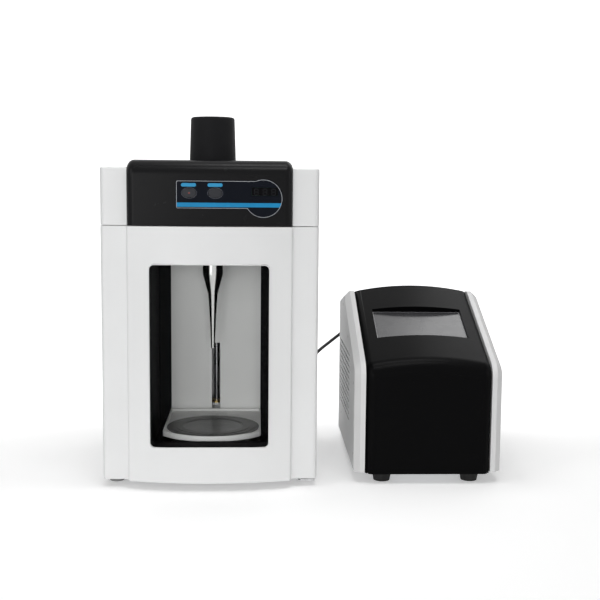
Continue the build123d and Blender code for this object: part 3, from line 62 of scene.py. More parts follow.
# The control panel on the hood, in millimetres on the enclosure
PANEL_LEFT = -49.0
PANEL_LOW = 416.4
PANEL_HIGH = 458.0
DIAL_X = 77.7
DIAL_Z = 432.0
DIAL_R = 28.4
PANEL_CORNER_R = 3.0
BUTTON_X = (-29.4, 8.3)
BUTTON_Z = 439.4
BUTTON_W = 20.0
BUTTON_H = 13.6
BUTTON_RIM = 1.3
RIM_WIDTH = 0.5
LINE_INSET = 1.1
LINE_WIDTH = 0.55
BAND_LOW = 419.4
BAND_HIGH = 425.6
PILLS = ((-41.0, -19.4), (-2.9, 19.0))
PILL_LOW = 448.5
PILL_HIGH = 453.6
INK = 0.06
DIGIT_X = (67.5, 80.0, 92.5)
DIGIT_Z = 441.6
DIGIT_W = 5.4
DIGIT_H = 8.6
SEGMENT = 0.95
SEGMENT_GAP = 0.6
LAMP_R = 1.2
PILL_ROUNDING_GAP = 0.01
ARC_STEPS = 10

# Finishes: where most of a noise's values lie, and the share of light that the clear pane mirrors
NOISE_LOW = 0.3
NOISE_HIGH = 0.7
PANE_SHINE = 0.002

# The door's window, and the lip round it
WINDOW_HALF = 88.0
WINDOW_LOW = 65.0
WINDOW_HIGH = 337.0
WINDOW_R = 8.0
LIP_WIDTH = 1.3
LIP_SLOPE = 0.9
LIP_DEPTH = 2.2

# The generator's screen, on the slope between the cover's knee and its ridge
KNEE_Z = 177.5
RIDGE_Z = 272.0
RIDGE_Y = 220.0
SLOPE = (RIDGE_Z - KNEE_Z) / RIDGE_Y
SCREEN_BORDER_INSET = 2.6
SCREEN_BORDER = 0.8
SCREEN_CORNER_R = 1.2
FACE_TOLERANCE = 0.0002

# The cable: control points of the runs, and the coil between them
GENERATOR_RUN = [
    (251.0, 384.0, 190.0),
    (249.3, 408.5, 188.3),
    (236.0, 427.0, 176.0),
    (213.0, 431.0, 157.0),
    (183.0, 421.0, 135.0),
    (155.0, 402.0, 106.0),
    (133.0, 377.0, 72.0),
    (117.0, 352.0, 37.0),
    (100.0, 331.0, 10.0),
    (77.0, 319.0, 3.2),
    (51.0, 315.0, 3.2),
]
ENCLOSURE_RUN = [
    (46.0, 385.5, 9.0),
    (66.0, 396.0, 20.0),
    (77.0, 408.0, 45.0),
    (82.0, 414.0, 74.0),
    (86.0, 407.0, 102.0),
    (91.5, 388.0, 118.5),
    (92.0, 363.5, 120.0),
]
CABLE_R = 3.0
COIL_X = 30.0
COIL_Y = 350.0
COIL_TURNS = 2.5
COIL_POINTS_PER_TURN = 14
COIL_OUTER_R = 36.0
COIL_INNER_R = 30.0
COIL_TOP_R = 33.0
COIL_LOW_Z = 3.2
COIL_TOP_Z = 8.6
COIL_IN_FROM = 0.55
COIL_IN_TO = 0.92
COIL_OUT_FROM = 1.75
COIL_OUT_TO = 2.05
COIL_UP_FROM = 1.6
COIL_UP_TO = 2.0
CABLE_RESOLUTION = 8
CABLE_BEVEL = 4

# The strap round the coil
TIE_CLEAR = 0.5
TIE_THICK = 0.8
TIE_WIDE = 11.0
TIE_CORNER_R = 3.2
TIE_OUTER_LOW = 0.1
TIE_INNER_LOW = 0.15


def place(home, x, y, z):
    """A point given in millimetres from a case's own zero, in metres in the row frame."""
    return (home + Vector((x, y, z))) * MM


def between(value, low, high):
    """0 up to low, 1 from high on, and a smooth rise between them."""
    share = min(1.0, max(0.0, (value - low) / (high - low)))
    return share * share * (3 - 2 * share)


# Camera


def make_camera():
    """The photograph's camera, from its place, its three turns and its focal length."""
    forward = Vector((
        -math.sin(CAMERA_YAW) * math.cos(CAMERA_PITCH),
        math.cos(CAMERA_YAW) * math.cos(CAMERA_PITCH),
        -math.sin(CAMERA_PITCH),
    ))
    level_right = Vector((math.cos(CAMERA_YAW), math.sin(CAMERA_YAW), 0.0))
    level_up = level_right.cross(forward)
    right = math.cos(CAMERA_ROLL) * level_right + math.sin(CAMERA_ROLL) * level_up
    up = -math.sin(CAMERA_ROLL) * level_right + math.cos(CAMERA_ROLL) * level_up
    data = bpy.data.cameras.new("photo_camera")
    data.sensor_fit = "HORIZONTAL"
    data.sensor_width = SENSOR_WIDTH
    data.lens = FOCAL_PIXELS / IMAGE_SIZE * SENSOR_WIDTH
    camera = bpy.data.objects.new("photo_camera", data)
    axes = Matrix((right, up, -forward)).transposed()
    camera.matrix_world = Matrix.Translation(CAMERA_PLACE) @ axes.to_4x4()
    bpy.context.scene.collection.objects.link(camera)
    bpy.context.scene.camera = camera


# Materials


def node_tree(name):
    """A new material's tree, its Principled shader and its object coordinates."""
    material = bpy.data.materials.new(name + "_look")
    material.use_nodes = True
    tree = material.node_tree
    shader = tree.nodes["Principled BSDF"]
    coordinates = tree.nodes.new("ShaderNodeTexCoord")
    return material, tree, shader, coordinates.outputs["Object"]


def noise(tree, coordinates, scale, detail=2.0, stretch=None):
    """The value of a noise of that many cells a metre, drawn out along an axis where stretch says."""
    texture = tree.nodes.new("ShaderNodeTexNoise")
    texture.inputs["Scale"].default_value = scale
    texture.inputs["Detail"].default_value = detail
    source = coordinates
    if stretch is not None:
        mapping = tree.nodes.new("ShaderNodeMapping")
        mapping.inputs["Scale"].default_value = stretch
        tree.links.new(coordinates, mapping.inputs["Vector"])
        source = mapping.outputs["Vector"]
    tree.links.new(source, texture.inputs["Vector"])
    return texture.outputs["Fac"]


def ranged(tree, value, low, high):
    """A noise's value, spread from where most of it lies to the range low to high."""
    fit = tree.nodes.new("ShaderNodeMapRange")
    fit.inputs["From Min"].default_value = NOISE_LOW
    fit.inputs["From Max"].default_value = NOISE_HIGH
    fit.inputs["To Min"].default_value = low
    fit.inputs["To Max"].default_value = high
    tree.links.new(value, fit.inputs["Value"])
    return fit.outputs["Result"]


def tinted(tree, value, colour, spread):
    """A colour that strays from the given one by the share spread, as value goes."""
    mix = tree.nodes.new("ShaderNodeMix")
    mix.data_type = "RGBA"
    mix.inputs["A"].default_value = (*[c * (1 - spread) for c in colour], 1.0)
    mix.inputs["B"].default_value = (*[min(1.0, c * (1 + spread)) for c in colour], 1.0)
    tree.links.new(ranged(tree, value, 0.0, 1.0), mix.inputs["Factor"])
    return mix.outputs["Result"]


def bumped(tree, shader, value, distance):
    """Small relief on the shader, as high as distance in metres."""
    bump = tree.nodes.new("ShaderNodeBump")
    bump.inputs["Distance"].default_value = distance
    bump.inputs["Strength"].default_value = 1.0
    tree.links.new(value, bump.inputs["Height"])
    tree.links.new(bump.outputs["Normal"], shader.inputs["Normal"])


def moulded(name, colour, roughness, spread, grain, depth, specular=0.5, wear=0.04):
    """Moulded plastic, paint or rubber: a slow colour drift, fine grain and uneven gloss."""
    material, tree, shader, coordinates = node_tree(name)
    drift = noise(tree, coordinates, 14.0, 3.0)
    fine = noise(tree, coordinates, grain, 2.0)
    tree.links.new(tinted(tree, drift, colour, spread), shader.inputs["Base Color"])
    gloss = ranged(tree, noise(tree, coordinates, 60.0, 4.0), roughness - wear, roughness + wear)
    tree.links.new(gloss, shader.inputs["Roughness"])
    shader.inputs["Specular IOR Level"].default_value = specular
    bumped(tree, shader, fine, depth)
    return material


def brushed(name, colour, roughness, stretch, depth=0.00001, wear=0.08):
    """Bare metal with fine marks along the way it was turned, rolled or drawn."""
    material, tree, shader, coordinates = node_tree(name)
    marks = noise(tree, coordinates, 900.0, 3.0, stretch)
    tree.links.new(tinted(tree, marks, colour, 0.08), shader.inputs["Base Color"])
    tree.links.new(ranged(tree, marks, roughness - wear, roughness + wear), shader.inputs["Roughness"])
    shader.inputs["Metallic"].default_value = 1.0
    bumped(tree, shader, marks, depth)
    return material


def turned_disc(name, colour, roughness, rings, depth):
    """Moulded plastic with fine concentric lines round the platform's middle."""
    material, tree, shader, coordinates = node_tree(name)
    low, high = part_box("platform_disc")
    middle = (low + high) / 2
    mapping = tree.nodes.new("ShaderNodeMapping")
    mapping.inputs["Location"].default_value = -middle
    wave = tree.nodes.new("ShaderNodeTexWave")
    wave.wave_type = "RINGS"
    wave.rings_direction = "Z"
    wave.inputs["Scale"].default_value = rings
    tree.links.new(coordinates, mapping.inputs["Vector"])
    tree.links.new(mapping.outputs["Vector"], wave.inputs["Vector"])
    drift = noise(tree, coordinates, 40.0, 4.0)
    tree.links.new(tinted(tree, drift, colour, 0.06), shader.inputs["Base Color"])
    tree.links.new(ranged(tree, drift, roughness - 0.05, roughness + 0.05), shader.inputs["Roughness"])
    bumped(tree, shader, wave.outputs["Fac"], depth)
    return material


def wound(name, colour, roughness):
    """Enamelled copper wire, wound close."""
    material, tree, shader, coordinates = node_tree(name)
    wave = tree.nodes.new("ShaderNodeTexWave")
    wave.bands_direction = "Z"
    wave.inputs["Scale"].default_value = 320.0
    tree.links.new(coordinates, wave.inputs["Vector"])
    tree.links.new(tinted(tree, wave.outputs["Fac"], colour, 0.3), shader.inputs["Base Color"])
    shader.inputs["Roughness"].default_value = roughness
    shader.inputs["Metallic"].default_value = 0.7
    bumped(tree, shader, wave.outputs["Fac"], 0.0002)
    return material


def circuit(name, colour, copper):
    """A lacquered circuit board with paler tracks under the lacquer."""
    material, tree, shader, coordinates = node_tree(name)
    bricks = tree.nodes.new("ShaderNodeTexBrick")
    bricks.inputs["Scale"].default_value = 90.0
    bricks.inputs["Mortar Size"].default_value = 0.03
    bricks.inputs["Color1"].default_value = (*colour, 1.0)
    bricks.inputs["Color2"].default_value = (*[c * 0.85 for c in colour], 1.0)
    bricks.inputs["Mortar"].default_value = (*copper, 1.0)
    tree.links.new(coordinates, bricks.inputs["Vector"])
    tree.links.new(bricks.outputs["Color"], shader.inputs["Base Color"])
    shader.inputs["Roughness"].default_value = 0.35
    return material


def clear_pane(name):
    """Thin clear sheet: it shows what is behind it, lets the lamps through and shines a little."""
    material, tree, shader, coordinates = node_tree(name)
    smears = noise(tree, coordinates, 25.0, 4.0)
    tree.links.new(ranged(tree, smears, 0.02, 0.07), shader.inputs["Roughness"])
    shader.inputs["Base Color"].default_value = (0.9, 0.9, 0.9, 1.0)
    shader.inputs["Metallic"].default_value = 1.0
    through = tree.nodes.new("ShaderNodeBsdfTransparent")
    through.inputs["Color"].default_value = (0.975, 0.98, 0.98, 1.0)
    mix = tree.nodes.new("ShaderNodeMixShader")
    mix.inputs["Fac"].default_value = PANE_SHINE
    tree.links.new(through.outputs["BSDF"], mix.inputs[1])
    tree.links.new(shader.outputs["BSDF"], mix.inputs[2])
    output = tree.nodes["Material Output"]
    tree.links.new(mix.outputs["Shader"], output.inputs["Surface"])
    return material


def make_materials():
    """One finish for each of the record's material slots."""
    return {
        "white_shell": moulded("white_shell", (0.78, 0.785, 0.785), 0.42, 0.012, 1400.0, 0.00002),
        "side_panel": moulded("side_panel", (0.68, 0.68, 0.68), 0.5, 0.015, 1700.0, 0.00003),
        "black_cover": moulded("black_cover", (0.0035, 0.0035, 0.004), 0.26, 0.08, 1900.0, 0.000006, 0.11,
                               wear=0.015),
        "black_inner": moulded("black_inner", (0.0035, 0.0035, 0.004), 0.6, 0.1, 1500.0, 0.00003, 0.03),
        "chamber_floor": moulded("chamber_floor", (0.022, 0.023, 0.024), 0.14, 0.08, 900.0, 0.000004, 0.7),
        "light_panel": moulded("light_panel", (0.87, 0.865, 0.85), 0.4, 0.02, 1200.0, 0.00002),
        "disc_grey": turned_disc("disc_grey", (0.075, 0.073, 0.07), 0.4, 240.0, 0.00006),
        "insert_grey": turned_disc("insert_grey", (0.1, 0.1, 0.1), 0.34, 300.0, 0.00004),
        "control_print": moulded("control_print", (0.003, 0.0045, 0.009), 0.16, 0.1, 2600.0, 0.000004,
                                 0.07),
        "button_dark": moulded("button_dark", (0.007, 0.008, 0.012), 0.3, 0.1, 2200.0, 0.00001, 0.3),
        "pane": clear_pane("pane"),
        "seal_rubber": moulded("seal_rubber", (0.015, 0.015, 0.015), 0.75, 0.15, 1100.0, 0.00005, 0.3),
        "grey_rubber": moulded("grey_rubber", (0.3, 0.3, 0.3), 0.7, 0.08, 1100.0, 0.00005, 0.3),
        "steel": brushed("steel", (0.56, 0.56, 0.57), 0.3, (1.0, 1.0, 0.08)),
        "zinc": brushed("zinc", (0.5, 0.51, 0.53), 0.42, (0.3, 1.0, 0.3), wear=0.12),
        "aluminium": brushed("aluminium", (0.72, 0.72, 0.73), 0.34, (0.06, 1.0, 1.0)),
        "horn_metal": brushed("horn_metal", (0.6, 0.595, 0.58), 0.11, (0.05, 0.05, 1.0), 0.000004, 0.03),
        "brass": brushed("brass", (0.72, 0.52, 0.22), 0.3, (1.0, 1.0, 0.1)),
        "nylon": moulded("nylon", (0.7, 0.69, 0.64), 0.45, 0.03, 1200.0, 0.00002),
        "magnet": moulded("magnet", (0.05, 0.05, 0.052), 0.5, 0.15, 1500.0, 0.00003),
        "motor_black": moulded("motor_black", (0.018, 0.018, 0.019), 0.5, 0.15, 1500.0, 0.00003),
        "board_green": circuit("board_green", (0.02, 0.14, 0.06), (0.06, 0.22, 0.09)),
        "winding": wound("winding", (0.55, 0.2, 0.07), 0.35),
        "ceramic": moulded("ceramic", (0.62, 0.58, 0.5), 0.4, 0.04, 1300.0, 0.00002),
        "screen_glass": moulded("screen_glass", (0.042, 0.042, 0.045), 0.2, 0.06, 2600.0, 0.000003, 0.8),
        "module_frame": brushed("module_frame", (0.5, 0.5, 0.5), 0.4, (0.1, 1.0, 1.0)),
        "socket_metal": brushed("socket_metal", (0.5, 0.5, 0.51), 0.28, (1.0, 0.1, 1.0)),
        "cable_black": moulded("cable_black", (0.02, 0.02, 0.021), 0.48, 0.15, 1300.0, 0.00004, 0.4),
    }


def make_inks():
    """Printed colours on the panel and the screen, which no CAD slot has."""
    return {
        "line_grey": moulded("line_grey", (0.42, 0.44, 0.46), 0.35, 0.05, 2600.0, 0.000003),
        "band_blue": moulded("band_blue", (0.014, 0.24, 0.49), 0.25, 0.06, 2600.0, 0.000003, 0.15),
        "pill_blue": moulded("pill_blue", (0.04, 0.3, 0.55), 0.3, 0.06, 2600.0, 0.000003, 0.15),
        "rim_grey": moulded("rim_grey", (0.075, 0.08, 0.095), 0.35, 0.08, 2600.0, 0.000003, 0.2),
        "segment_dark": moulded("segment_dark", (0.014, 0.015, 0.018), 0.3, 0.1, 2600.0, 0.000003, 0.1),
        "lamp_red": moulded("lamp_red", (0.2, 0.03, 0.025), 0.25, 0.1, 2600.0, 0.000003),
        "border_light": moulded("border_light", (0.3, 0.3, 0.31), 0.3, 0.05, 2600.0, 0.000003),
        "strap_black": moulded("strap_black", (0.016, 0.016, 0.016), 0.8, 0.2, 700.0, 0.0002, 0.2),
    }


def paint_nodes(materials):
    """Gives each CAD node's slots the finish of the same name, or the node's own kind of black."""
    own_looks = {
        "front_cover": moulded("front_cover", (0.0018, 0.0018, 0.002), 0.3, 0.08, 1900.0, 0.000006, 0.04,
                               wear=0.015),
        "converter_housing": moulded("converter", (0.006, 0.006, 0.0068), 0.62, 0.12, 1500.0, 0.00003,
                                     0.12),
    }
    for name, piece in nodes.items():
        for index, held in enumerate(piece.material_slots):
            slot_name = held.material.name.split(".")[0]
            look = materials[slot_name]
            if slot_name == "black_cover":
                look = own_looks.get(name, look)
            piece.material_slots[index].material = look


# Small pieces


def mesh_piece(name, mesh, material, body):
    """A piece from a finished bmesh, which rides on a body."""
    data = bpy.data.meshes.new(name)
    bmesh.ops.recalc_face_normals(mesh, faces=mesh.faces)
    mesh.to_mesh(data)
    mesh.free()
    data.materials.append(material)
    piece = bpy.data.objects.new(name, data)
    bpy.context.scene.collection.objects.link(piece)
    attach(piece, body)
    return piece


def add_prism(mesh, outline, lift):
    """A closed prism on the outline, a list of points in order, which reaches as far as lift."""
    low = [mesh.verts.new(p) for p in outline]
    high = [mesh.verts.new(Vector(p) + lift) for p in outline]
    mesh.faces.new(low)
    mesh.faces.new(reversed(high))
    count = len(outline)
    for i in range(count):
        j = (i + 1) % count
        mesh.faces.new((low[i], low[j], high[j], high[i]))


def add_ring(mesh, outer, inner, lift):
    """A closed band between two outlines with as many points each."""
    rows = []
    for outline in (outer, inner):
        rows.append([mesh.verts.new(p) for p in outline])
        rows.append([mesh.verts.new(Vector(p) + lift) for p in outline])
    outer_low, outer_high, inner_low, inner_high = rows
    count = len(outer)
    for i in range(count):
        j = (i + 1) % count
        mesh.faces.new((outer_low[i], outer_low[j], outer_high[j], outer_high[i]))
        mesh.faces.new((inner_low[j], inner_low[i], inner_high[i], inner_high[j]))
        mesh.faces.new((outer_high[i], outer_high[j], inner_high[j], inner_high[i]))
        mesh.faces.new((outer_low[j], outer_low[i], inner_low[i], inner_low[j]))


def arc(x, z, radius, start, end, steps):
    """Points on an arc, with angles in degrees, in a plane of x and z."""
    turn = [math.radians(start + (end - start) * i / steps) for i in range(steps + 1)]
    return [(x + radius * math.cos(a), z + radius * math.sin(a)) for a in turn]


def rounded(x0, x1, z0, z1, radius):
    """A rectangle with round corners, against the clock."""
    points = arc(x1 - radius, z0 + radius, radius, -90, 0, ARC_STEPS)
    points += arc(x1 - radius, z1 - radius, radius, 0, 90, ARC_STEPS)
    points += arc(x0 + radius, z1 - radius, radius, 90, 180, ARC_STEPS)
    points += arc(x0 + radius, z0 + radius, radius, 180, 270, ARC_STEPS)
    return points


def panel_outline(inset):
    """The control panel's outline, moved in: a bar that ends in a round dial at its right."""
    left = PANEL_LEFT + inset
    low = PANEL_LOW + inset
    high = PANEL_HIGH - inset
    radius = DIAL_R - inset
    corner = PANEL_CORNER_R - inset
    start = math.degrees(math.asin((low - DIAL_Z) / radius))
    end = math.degrees(math.asin((high - DIAL_Z) / radius))
    points = arc(DIAL_X, DIAL_Z, radius, -180 - start, 180 - end, ARC_STEPS * 6)
    points += arc(left + corner, high - corner, corner, 90, 180, ARC_STEPS)
    points += arc(left + corner, low + corner, corner, 180, 270, ARC_STEPS)
    return points


def band_outline():
    """The blue band: square at the left, and cut by the dial's line at the right."""
    inset = LINE_INSET + LINE_WIDTH
    radius = DIAL_R - inset
    left = PANEL_LEFT + inset
    start = math.degrees(math.asin((BAND_LOW - DIAL_Z) / radius))
    end = math.degrees(math.asin((BAND_HIGH - DIAL_Z) / radius))
    return [(left, BAND_HIGH), (left, BAND_LOW)] + arc(DIAL_X, DIAL_Z, radius, start, end, ARC_STEPS)


def segments(x, z):
    """The seven bars of a digit, each a bar with pointed ends."""
    half_w = DIGIT_W / 2
    half_h = DIGIT_H / 2
    half = SEGMENT / 2
    flat = [(x, z + level) for level in (-half_h, 0.0, half_h)]
    tall = [(x + side, z + level) for side in (-half_w, half_w) for level in (-half_h / 2, half_h / 2)]
    bars = []
    for cx, cz in flat:
        reach = half_w - half * SEGMENT_GAP
        bars.append([(cx - reach, cz), (cx - reach + half, cz - half), (cx + reach - half, cz - half),
                     (cx + reach, cz), (cx + reach - half, cz + half), (cx - reach + half, cz + half)])
    for cx, cz in tall:
        reach = half_h / 2 - half * SEGMENT_GAP
        bars.append([(cx, cz - reach), (cx + half, cz - reach + half), (cx + half, cz + reach - half),
                     (cx, cz + reach), (cx - half, cz + reach - half), (cx - half, cz - reach + half)])
    return bars


def on_face(outline, y):
    """Outline points on a face of the enclosure that looks forward, at a y in metres."""
    return [Vector(((ENCLOSURE.x + x) * MM, y, (ENCLOSURE.z + z) * MM)) for x, z in outline]


def print_panel(inks):
    """The panel's line, band and pills, the buttons' rims, the display's digits and the small lamp."""
    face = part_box("control_panel")[0].y
    lift = Vector((0.0, -INK * MM, 0.0))

    mesh = bmesh.new()
    outer = on_face(panel_outline(LINE_INSET), face)
    inner = on_face(panel_outline(LINE_INSET + LINE_WIDTH), face)
    add_ring(mesh, outer, inner, lift)
    mesh_piece("panel_line", mesh, inks["line_grey"], "root")

    mesh = bmesh.new()
    add_prism(mesh, on_face(band_outline(), face), lift)
    mesh_piece("panel_band", mesh, inks["band_blue"], "root")

    mesh = bmesh.new()
    for left, right in PILLS:
        pill_r = (PILL_HIGH - PILL_LOW) / 2 - PILL_ROUNDING_GAP
        pill = rounded(left, right, PILL_LOW, PILL_HIGH, pill_r)
        add_prism(mesh, on_face(pill, face), lift)
    mesh_piece("panel_pills", mesh, inks["pill_blue"], "root")

    mesh = bmesh.new()
    for x in BUTTON_X:
        rims = []
        for grow in (BUTTON_RIM, BUTTON_RIM - RIM_WIDTH):
            rims.append(on_face(oval(x, BUTTON_Z, BUTTON_W / 2 + grow, BUTTON_H / 2 + grow), face))
        add_ring(mesh, rims[0], rims[1], lift)
    mesh_piece("button_rims", mesh, inks["rim_grey"], "root")

    mesh = bmesh.new()
    display_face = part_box("number_display")[0].y
    for x in DIGIT_X:
        for bar in segments(x, DIGIT_Z):
            add_prism(mesh, on_face(bar, display_face), lift)
    mesh_piece("readout_segments", mesh, inks["segment_dark"], "root")

    mesh = bmesh.new()
    key_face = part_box("up_button")[0].y
    add_prism(mesh, on_face(oval(BUTTON_X[0], BUTTON_Z, LAMP_R, LAMP_R), key_face), lift)
    mesh_piece("up_lamp", mesh, inks["lamp_red"], "up_key")


def edge_window(materials):
    """The polished lip round the door's window, sloping in from the door's face."""
    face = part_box("door_shell")[0].y
    rows = []
    for inset, depth in ((0.0, LIP_DEPTH), (0.0, 0.0), (LIP_WIDTH, LIP_SLOPE), (LIP_WIDTH, LIP_DEPTH)):
        half = WINDOW_HALF - inset
        outline = rounded(-half, half, WINDOW_LOW + inset, WINDOW_HIGH - inset, WINDOW_R - inset)
        rows.append(on_face(outline, face + depth * MM))
    mesh = bmesh.new()
    loops = [[mesh.verts.new(p) for p in row] for row in rows]
    count = len(rows[0])
    for near, far in zip(loops, loops[1:] + loops[:1]):
        for i in range(count):
            j = (i + 1) % count
            mesh.faces.new((near[i], near[j], far[j], far[i]))
    mesh_piece("window_lip", mesh, materials["white_shell"], "door")


def oval(x, z, half_w, half_h):
    """Points round an ellipse, against the clock, in a plane of x and z."""
    turn = [2 * math.pi * i / (4 * ARC_STEPS) for i in range(4 * ARC_STEPS)]
    return [(x + half_w * math.cos(a), z + half_h * math.sin(a)) for a in turn]


def frame_screen(inks):
    """The thin light border round the picture area, on the glass."""
    normal = Vector((0.0, -SLOPE, 1.0)).normalized()
    along = Vector((0.0, 1.0, SLOPE)).normalized()
    glass = [v.co for v in nodes["touch_screen"].data.vertices]
    top = max(p.dot(normal) for p in glass)
    face = [p for p in glass if top - p.dot(normal) < FACE_TOLERANCE]
    x_low = min(p.x for p in face)
    x_high = max(p.x for p in face)
    y_low = min(p.dot(along) for p in face)
    y_high = max(p.dot(along) for p in face)

    def loop(inset):
        corner_r = SCREEN_CORNER_R * MM
        corners = rounded(x_low + inset, x_high - inset, y_low + inset, y_high - inset, corner_r)
        return [Vector((x, 0.0, 0.0)) + along * t + normal * top for x, t in corners]

    mesh = bmesh.new()
    inset = SCREEN_BORDER_INSET * MM
    add_ring(mesh, loop(inset), loop(inset + SCREEN_BORDER * MM), normal * INK * MM)
    mesh_piece("screen_border", mesh, inks["border_light"], "root")


# Cable


def coil_points():
    """Two turns beside each other on the bench and half a turn on top, with the clock seen from above."""
    count = round(COIL_TURNS * COIL_POINTS_PER_TURN)
    points = []
    for i in range(count + 1):
        turn = COIL_TURNS * i / count
        angle = -math.pi / 2 - 2 * math.pi * turn
        radius = COIL_OUTER_R
        radius += (COIL_INNER_R - COIL_OUTER_R) * between(turn, COIL_IN_FROM, COIL_IN_TO)
        radius += (COIL_TOP_R - COIL_INNER_R) * between(turn, COIL_OUT_FROM, COIL_OUT_TO)
        height = COIL_LOW_Z + (COIL_TOP_Z - COIL_LOW_Z) * between(turn, COIL_UP_FROM, COIL_UP_TO)
        points.append((COIL_X + radius * math.cos(angle), COIL_Y + radius * math.sin(angle), height))
    return points


def make_cable(materials, inks):
    """The cable between the two cases as one smooth cord, with its coil tied."""
    points = GENERATOR_RUN + coil_points() + ENCLOSURE_RUN
    data = bpy.data.curves.new("converter_cable", "CURVE")
    data.dimensions = "3D"
    spline = data.splines.new("NURBS")
    spline.points.add(len(points) - 1)
    for held, point in zip(spline.points, points):
        held.co = (*place(ENCLOSURE, *point), 1.0)
    spline.order_u = 3
    spline.use_endpoint_u = True
    spline.resolution_u = CABLE_RESOLUTION
    data.bevel_depth = CABLE_R * MM
    data.bevel_resolution = CABLE_BEVEL
    data.use_fill_caps = True
    data.materials.append(materials["cable_black"])
    cable = bpy.data.objects.new("converter_cable", data)
    bpy.context.scene.collection.objects.link(cable)
    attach(cable, "root")
    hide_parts("cable_coil", "cable_generator_run", "cable_enclosure_run")
    tie = make_tie(inks)


def make_tie(inks):
    """A woven strap round the coil's three strands, on its left."""
    inner_x = COIL_INNER_R - CABLE_R - TIE_CLEAR
    outer_x = COIL_OUTER_R + CABLE_R + TIE_CLEAR
    top = COIL_TOP_Z + CABLE_R + TIE_CLEAR
    near_y = COIL_Y - TIE_WIDE / 2
    sides = []
    for grow, low in ((TIE_THICK, TIE_OUTER_LOW), (0.0, TIE_INNER_LOW)):
        row = rounded(inner_x - grow, outer_x + grow, low, top + grow, TIE_CORNER_R)
        sides.append([place(ENCLOSURE, COIL_X - x, near_y, z) for x, z in row])
    mesh = bmesh.new()
    add_ring(mesh, sides[0], sides[1], Vector((0.0, TIE_WIDE * MM, 0.0)))
    return mesh_piece("coil_tie", mesh, inks["strap_black"], "root")


# Stage

WORLD_LEVEL = 0.03
STAGE_WHITE = 0.9
FLOOR_HALF_WIDTH = 3.2
FLOOR_FRONT = -0.8
FLOOR_BACK = 2.4
WALL_TOP = 3.0
COVE_R = 0.9
COVE_STEPS = 12
FLOOR_DROP = 0.0003
GLOW_NEAR = 0.3
GLOW_FAR = 1.0
GLOW_NEAR_Y = 0.0
GLOW_FAR_Y = 0.7


def looked_at(tree):
    """1 for rays from the camera, a mirror or glass, and 0 for the light that falls on things."""
    path = tree.nodes.new("ShaderNodeLightPath")
    seen = path.outputs["Is Camera Ray"]
    for kind in ("Is Glossy Ray", "Is Transmission Ray"):
        both = tree.nodes.new("ShaderNodeMath")
        both.operation = "MAXIMUM"
        tree.links.new(seen, both.inputs[0])
        tree.links.new(path.outputs[kind], both.inputs[1])
        seen = both.outputs["Value"]
    return seen


def stage_material(name, colour):
    """Matt white, with light of its own that grows towards the wall and that only looks reach."""
    material, tree, shader, coordinates = node_tree(name)
    shader.inputs["Base Color"].default_value = (colour, colour, colour, 1.0)
    shader.inputs["Roughness"].default_value = 0.9
    shader.inputs["Specular IOR Level"].default_value = 0.0
    seen = looked_at(tree)
    split = tree.nodes.new("ShaderNodeSeparateXYZ")
    tree.links.new(coordinates, split.inputs["Vector"])
    away = tree.nodes.new("ShaderNodeMapRange")
    away.interpolation_type = "SMOOTHSTEP"
    away.inputs["From Min"].default_value = GLOW_NEAR_Y
    away.inputs["From Max"].default_value = GLOW_FAR_Y
    away.inputs["To Min"].default_value = GLOW_NEAR
    away.inputs["To Max"].default_value = GLOW_FAR
    tree.links.new(split.outputs["Y"], away.inputs["Value"])
    scaled = tree.nodes.new("ShaderNodeMath")
    scaled.operation = "MULTIPLY"
    tree.links.new(seen, scaled.inputs[0])
    tree.links.new(away.outputs["Result"], scaled.inputs[1])
    shader.inputs["Emission Color"].default_value = (1.0, 1.0, 1.0, 1.0)
    tree.links.new(scaled.outputs["Value"], shader.inputs["Emission Strength"])
    return material


def make_stage():
    """A floor that curves up into a backdrop."""
    profile = [(FLOOR_FRONT, -FLOOR_DROP)]
    for i in range(COVE_STEPS + 1):
        angle = math.radians(-90 + 90 * i / COVE_STEPS)
        profile.append((FLOOR_BACK - COVE_R + COVE_R * math.cos(angle),
                        COVE_R + COVE_R * math.sin(angle) - FLOOR_DROP))
    profile.append((FLOOR_BACK, WALL_TOP))
    mesh = bmesh.new()
    rows = []
    for x in (-FLOOR_HALF_WIDTH, FLOOR_HALF_WIDTH):
        rows.append([mesh.verts.new((x, y, z)) for y, z in profile])
    for i in range(len(profile) - 1):
        mesh.faces.new((rows[0][i], rows[1][i], rows[1][i + 1], rows[0][i + 1]))
    data = bpy.data.meshes.new("backdrop")
    mesh.to_mesh(data)
    mesh.free()
    for face in data.polygons:
        face.use_smooth = True
    data.materials.append(stage_material("backdrop", STAGE_WHITE))
    backdrop = bpy.data.objects.new("backdrop", data)
    bpy.context.scene.collection.objects.link(backdrop)


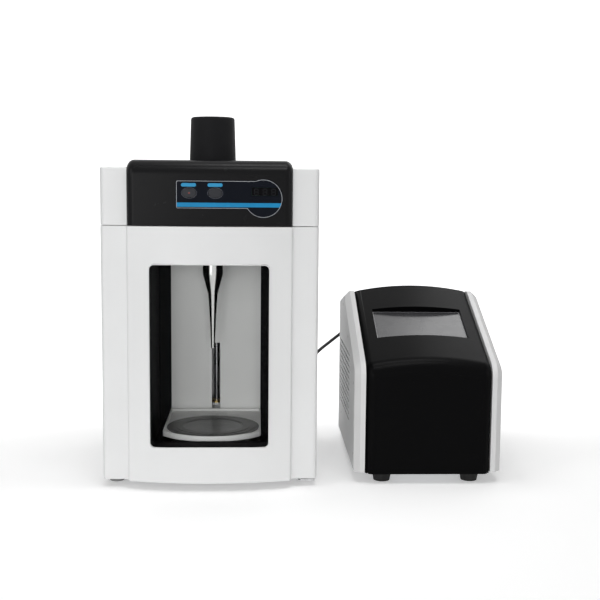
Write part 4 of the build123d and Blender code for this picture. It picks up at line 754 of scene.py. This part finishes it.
def area_lamp(name, at, target, size_x, size_y, watts, mirrored=True):
    """A soft lamp that looks at its target. One that isn't mirrored leaves no reflection of its own."""
    data = bpy.data.lights.new(name, "AREA")
    data.shape = "RECTANGLE"
    data.size = size_x
    data.size_y = size_y
    data.energy = watts
    lamp = bpy.data.objects.new(name, data)
    lamp.visible_glossy = mirrored
    lamp.location = at
    lamp.rotation_mode = "QUATERNION"
    lamp.rotation_quaternion = (Vector(target) - Vector(at)).to_track_quat("-Z", "Y")
    bpy.context.scene.collection.objects.link(lamp)


def make_light():
    """An even, dim world, which looks white, and the soft lamps round the object."""
    world = bpy.data.worlds.new("studio")
    world.use_nodes = True
    tree = world.node_tree
    background = tree.nodes["Background"]
    background.inputs["Color"].default_value = (1.0, 1.0, 1.0, 1.0)
    level = tree.nodes.new("ShaderNodeMapRange")
    level.inputs["To Min"].default_value = WORLD_LEVEL
    level.inputs["To Max"].default_value = 1.0
    tree.links.new(looked_at(tree), level.inputs["Value"])
    tree.links.new(level.outputs["Result"], background.inputs["Strength"])
    bpy.context.scene.world = world
    middle = (0.0, -0.1, 0.25)
    area_lamp("front_soft", (-0.14, -3.6, 0.42), (-0.14, 0.0, 0.3), 1.0, 1.0, 44.0, False)
    area_lamp("softbox_left", (-0.95, -2.5, 0.6), (-0.15, -0.1, 0.35), 0.95, 1.0, 9.0)
    area_lamp("key_left", (-1.0, -0.95, 0.85), (-0.15, -0.15, 0.35), 0.5, 0.8, 2.3)
    area_lamp("fill_right", (1.9, -1.1, 0.9), middle, 0.8, 1.2, 3.0)
    area_lamp("strip_top", (0.17, -0.95, 1.9), (-0.1, -0.1, 0.45), 0.8, 0.3, 7.0)
    area_lamp("strip_over", (0.2, -0.2, 1.9), (0.2, -0.1, 0.2), 0.9, 0.25, 6.0)
    area_lamp("overhead_back", (0.95, 1.05, 1.8), (0.2, 0.0, 0.2), 0.9, 0.9, 4.0)
    area_lamp("overhead_left", (-0.5, 0.1, 1.9), (-0.2, 0.0, 0.2), 0.9, 0.9, 10.0, False)


make_camera()
materials = make_materials()
inks = make_inks()
make_cable(materials, inks)
paint_nodes(materials)
print_panel(inks)
edge_window(materials)
frame_screen(inks)
make_stage()
make_light()

bpy.context.scene.view_settings.view_transform = "Standard"
